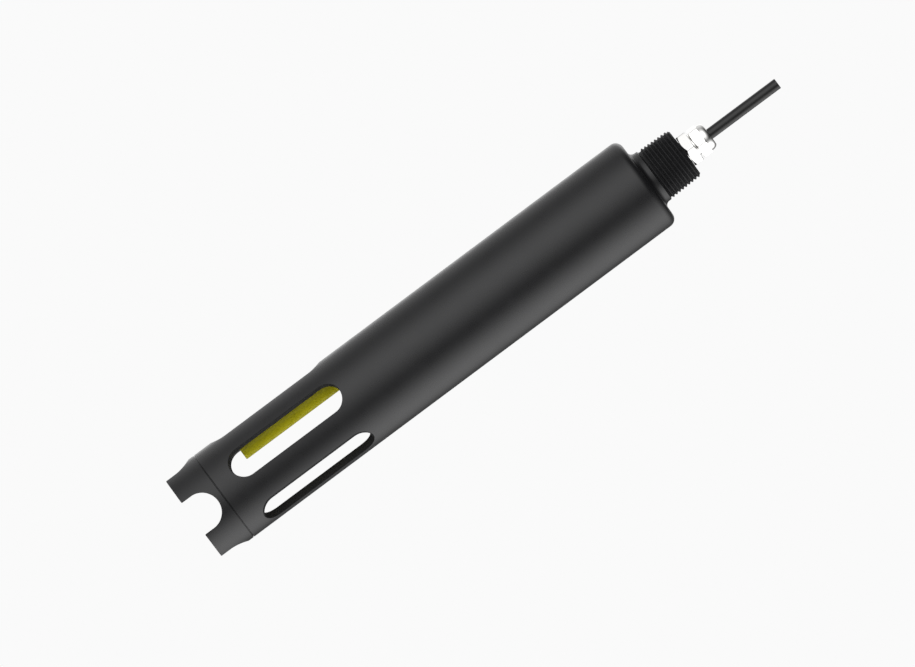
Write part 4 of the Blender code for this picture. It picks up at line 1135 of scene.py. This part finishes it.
def make_world():
    """A white surround for the camera, and a ring of soft panels for what the probe reflects."""
    world = bpy.data.worlds.new("studio")
    bpy.context.scene.world = world
    world.use_nodes = True
    nodes, links = world.node_tree.nodes, world.node_tree.links
    parts = nodes.new("ShaderNodeSeparateXYZ")
    links.new(nodes.new("ShaderNodeTexCoord").outputs["Generated"], parts.inputs["Vector"])
    front = nodes.new("ShaderNodeMath")
    front.operation = "MULTIPLY"
    front.inputs[1].default_value = -1.0
    links.new(parts.outputs["Y"], front.inputs[0])
    azimuth = nodes.new("ShaderNodeMath")
    azimuth.operation = "ARCTAN2"
    links.new(parts.outputs["X"], azimuth.inputs[0])
    links.new(front.outputs["Value"], azimuth.inputs[1])
    share = nodes.new("ShaderNodeMapRange")
    set_up(share, From_Min=-math.pi, From_Max=math.pi)
    links.new(azimuth.outputs["Value"], share.inputs["Value"])
    ramp = nodes.new("ShaderNodeValToRGB")
    ramp.color_ramp.interpolation = "LINEAR"
    stops = ramp.color_ramp.elements
    while len(stops) < RAMP_STOPS:
        stops.new(0.5)
    for i, stop in enumerate(stops):
        stop.position = i / (RAMP_STOPS - 1)
        level = studio_radiance(360 * stop.position - 180) / BRIGHTEST
        stop.color = (level, level, level, 1.0)
    links.new(share.outputs["Result"], ramp.inputs["Fac"])
    panels = nodes["Background"]
    links.new(ramp.outputs["Color"], panels.inputs["Color"])
    steepness = nodes.new("ShaderNodeMath")
    steepness.operation = "ABSOLUTE"
    links.new(parts.outputs["Z"], steepness.inputs[0])
    reach = nodes.new("ShaderNodeMapRange")
    reach.interpolation_type = "SMOOTHSTEP"
    faded = POLE_LEVEL * BRIGHTEST
    set_up(reach, From_Min=PANEL_EDGE, From_Max=1.0, To_Min=BRIGHTEST, To_Max=faded)
    links.new(steepness.outputs["Value"], reach.inputs["Value"])
    links.new(reach.outputs["Result"], panels.inputs["Strength"])
    white = nodes.new("ShaderNodeBackground")
    set_up(white, Color=(1.0, 1.0, 1.0, 1.0), Strength=SURROUND)
    seen = nodes.new("ShaderNodeMixShader")
    links.new(nodes.new("ShaderNodeLightPath").outputs["Is Camera Ray"], seen.inputs["Fac"])
    links.new(panels.outputs["Background"], seen.inputs[1])
    links.new(white.outputs["Background"], seen.inputs[2])
    links.new(seen.outputs["Shader"], nodes["World Output"].inputs["Surface"])


def make_electrode_light(electrode):
    """A light from the rear right for the nitrate electrode alone, deep inside its cage."""
    data = bpy.data.lights.new("electrode_light", "AREA")
    data.shape = "RECTANGLE"
    data.size = ELECTRODE_LIGHT_WIDTH
    data.size_y = ELECTRODE_LIGHT_HEIGHT
    data.energy = ELECTRODE_RADIANCE * math.pi * data.size * data.size_y
    light = bpy.data.objects.new("electrode_light", data)
    bpy.context.scene.collection.objects.link(light)
    angle = math.radians(ELECTRODE_LIGHT_AZIMUTH)
    away = ELECTRODE_LIGHT_DISTANCE
    light.location = (away * math.sin(angle), -away * math.cos(angle), HOLDER_FRONT)
    light.rotation_euler = (math.pi / 2, 0.0, angle)
    light.visible_camera = False
    light.visible_glossy = False
    lit = bpy.data.collections.new("electrode_light_linked")
    lit.objects.link(electrode)
    light.light_linking.receiver_collection = lit
    light.light_linking.blocker_collection = lit


make_stage()
make_world()
make_electrode_light(bpy.data.objects["nitrate_electrode_fine"])
bpy.context.scene.view_settings.view_transform = "Standard"
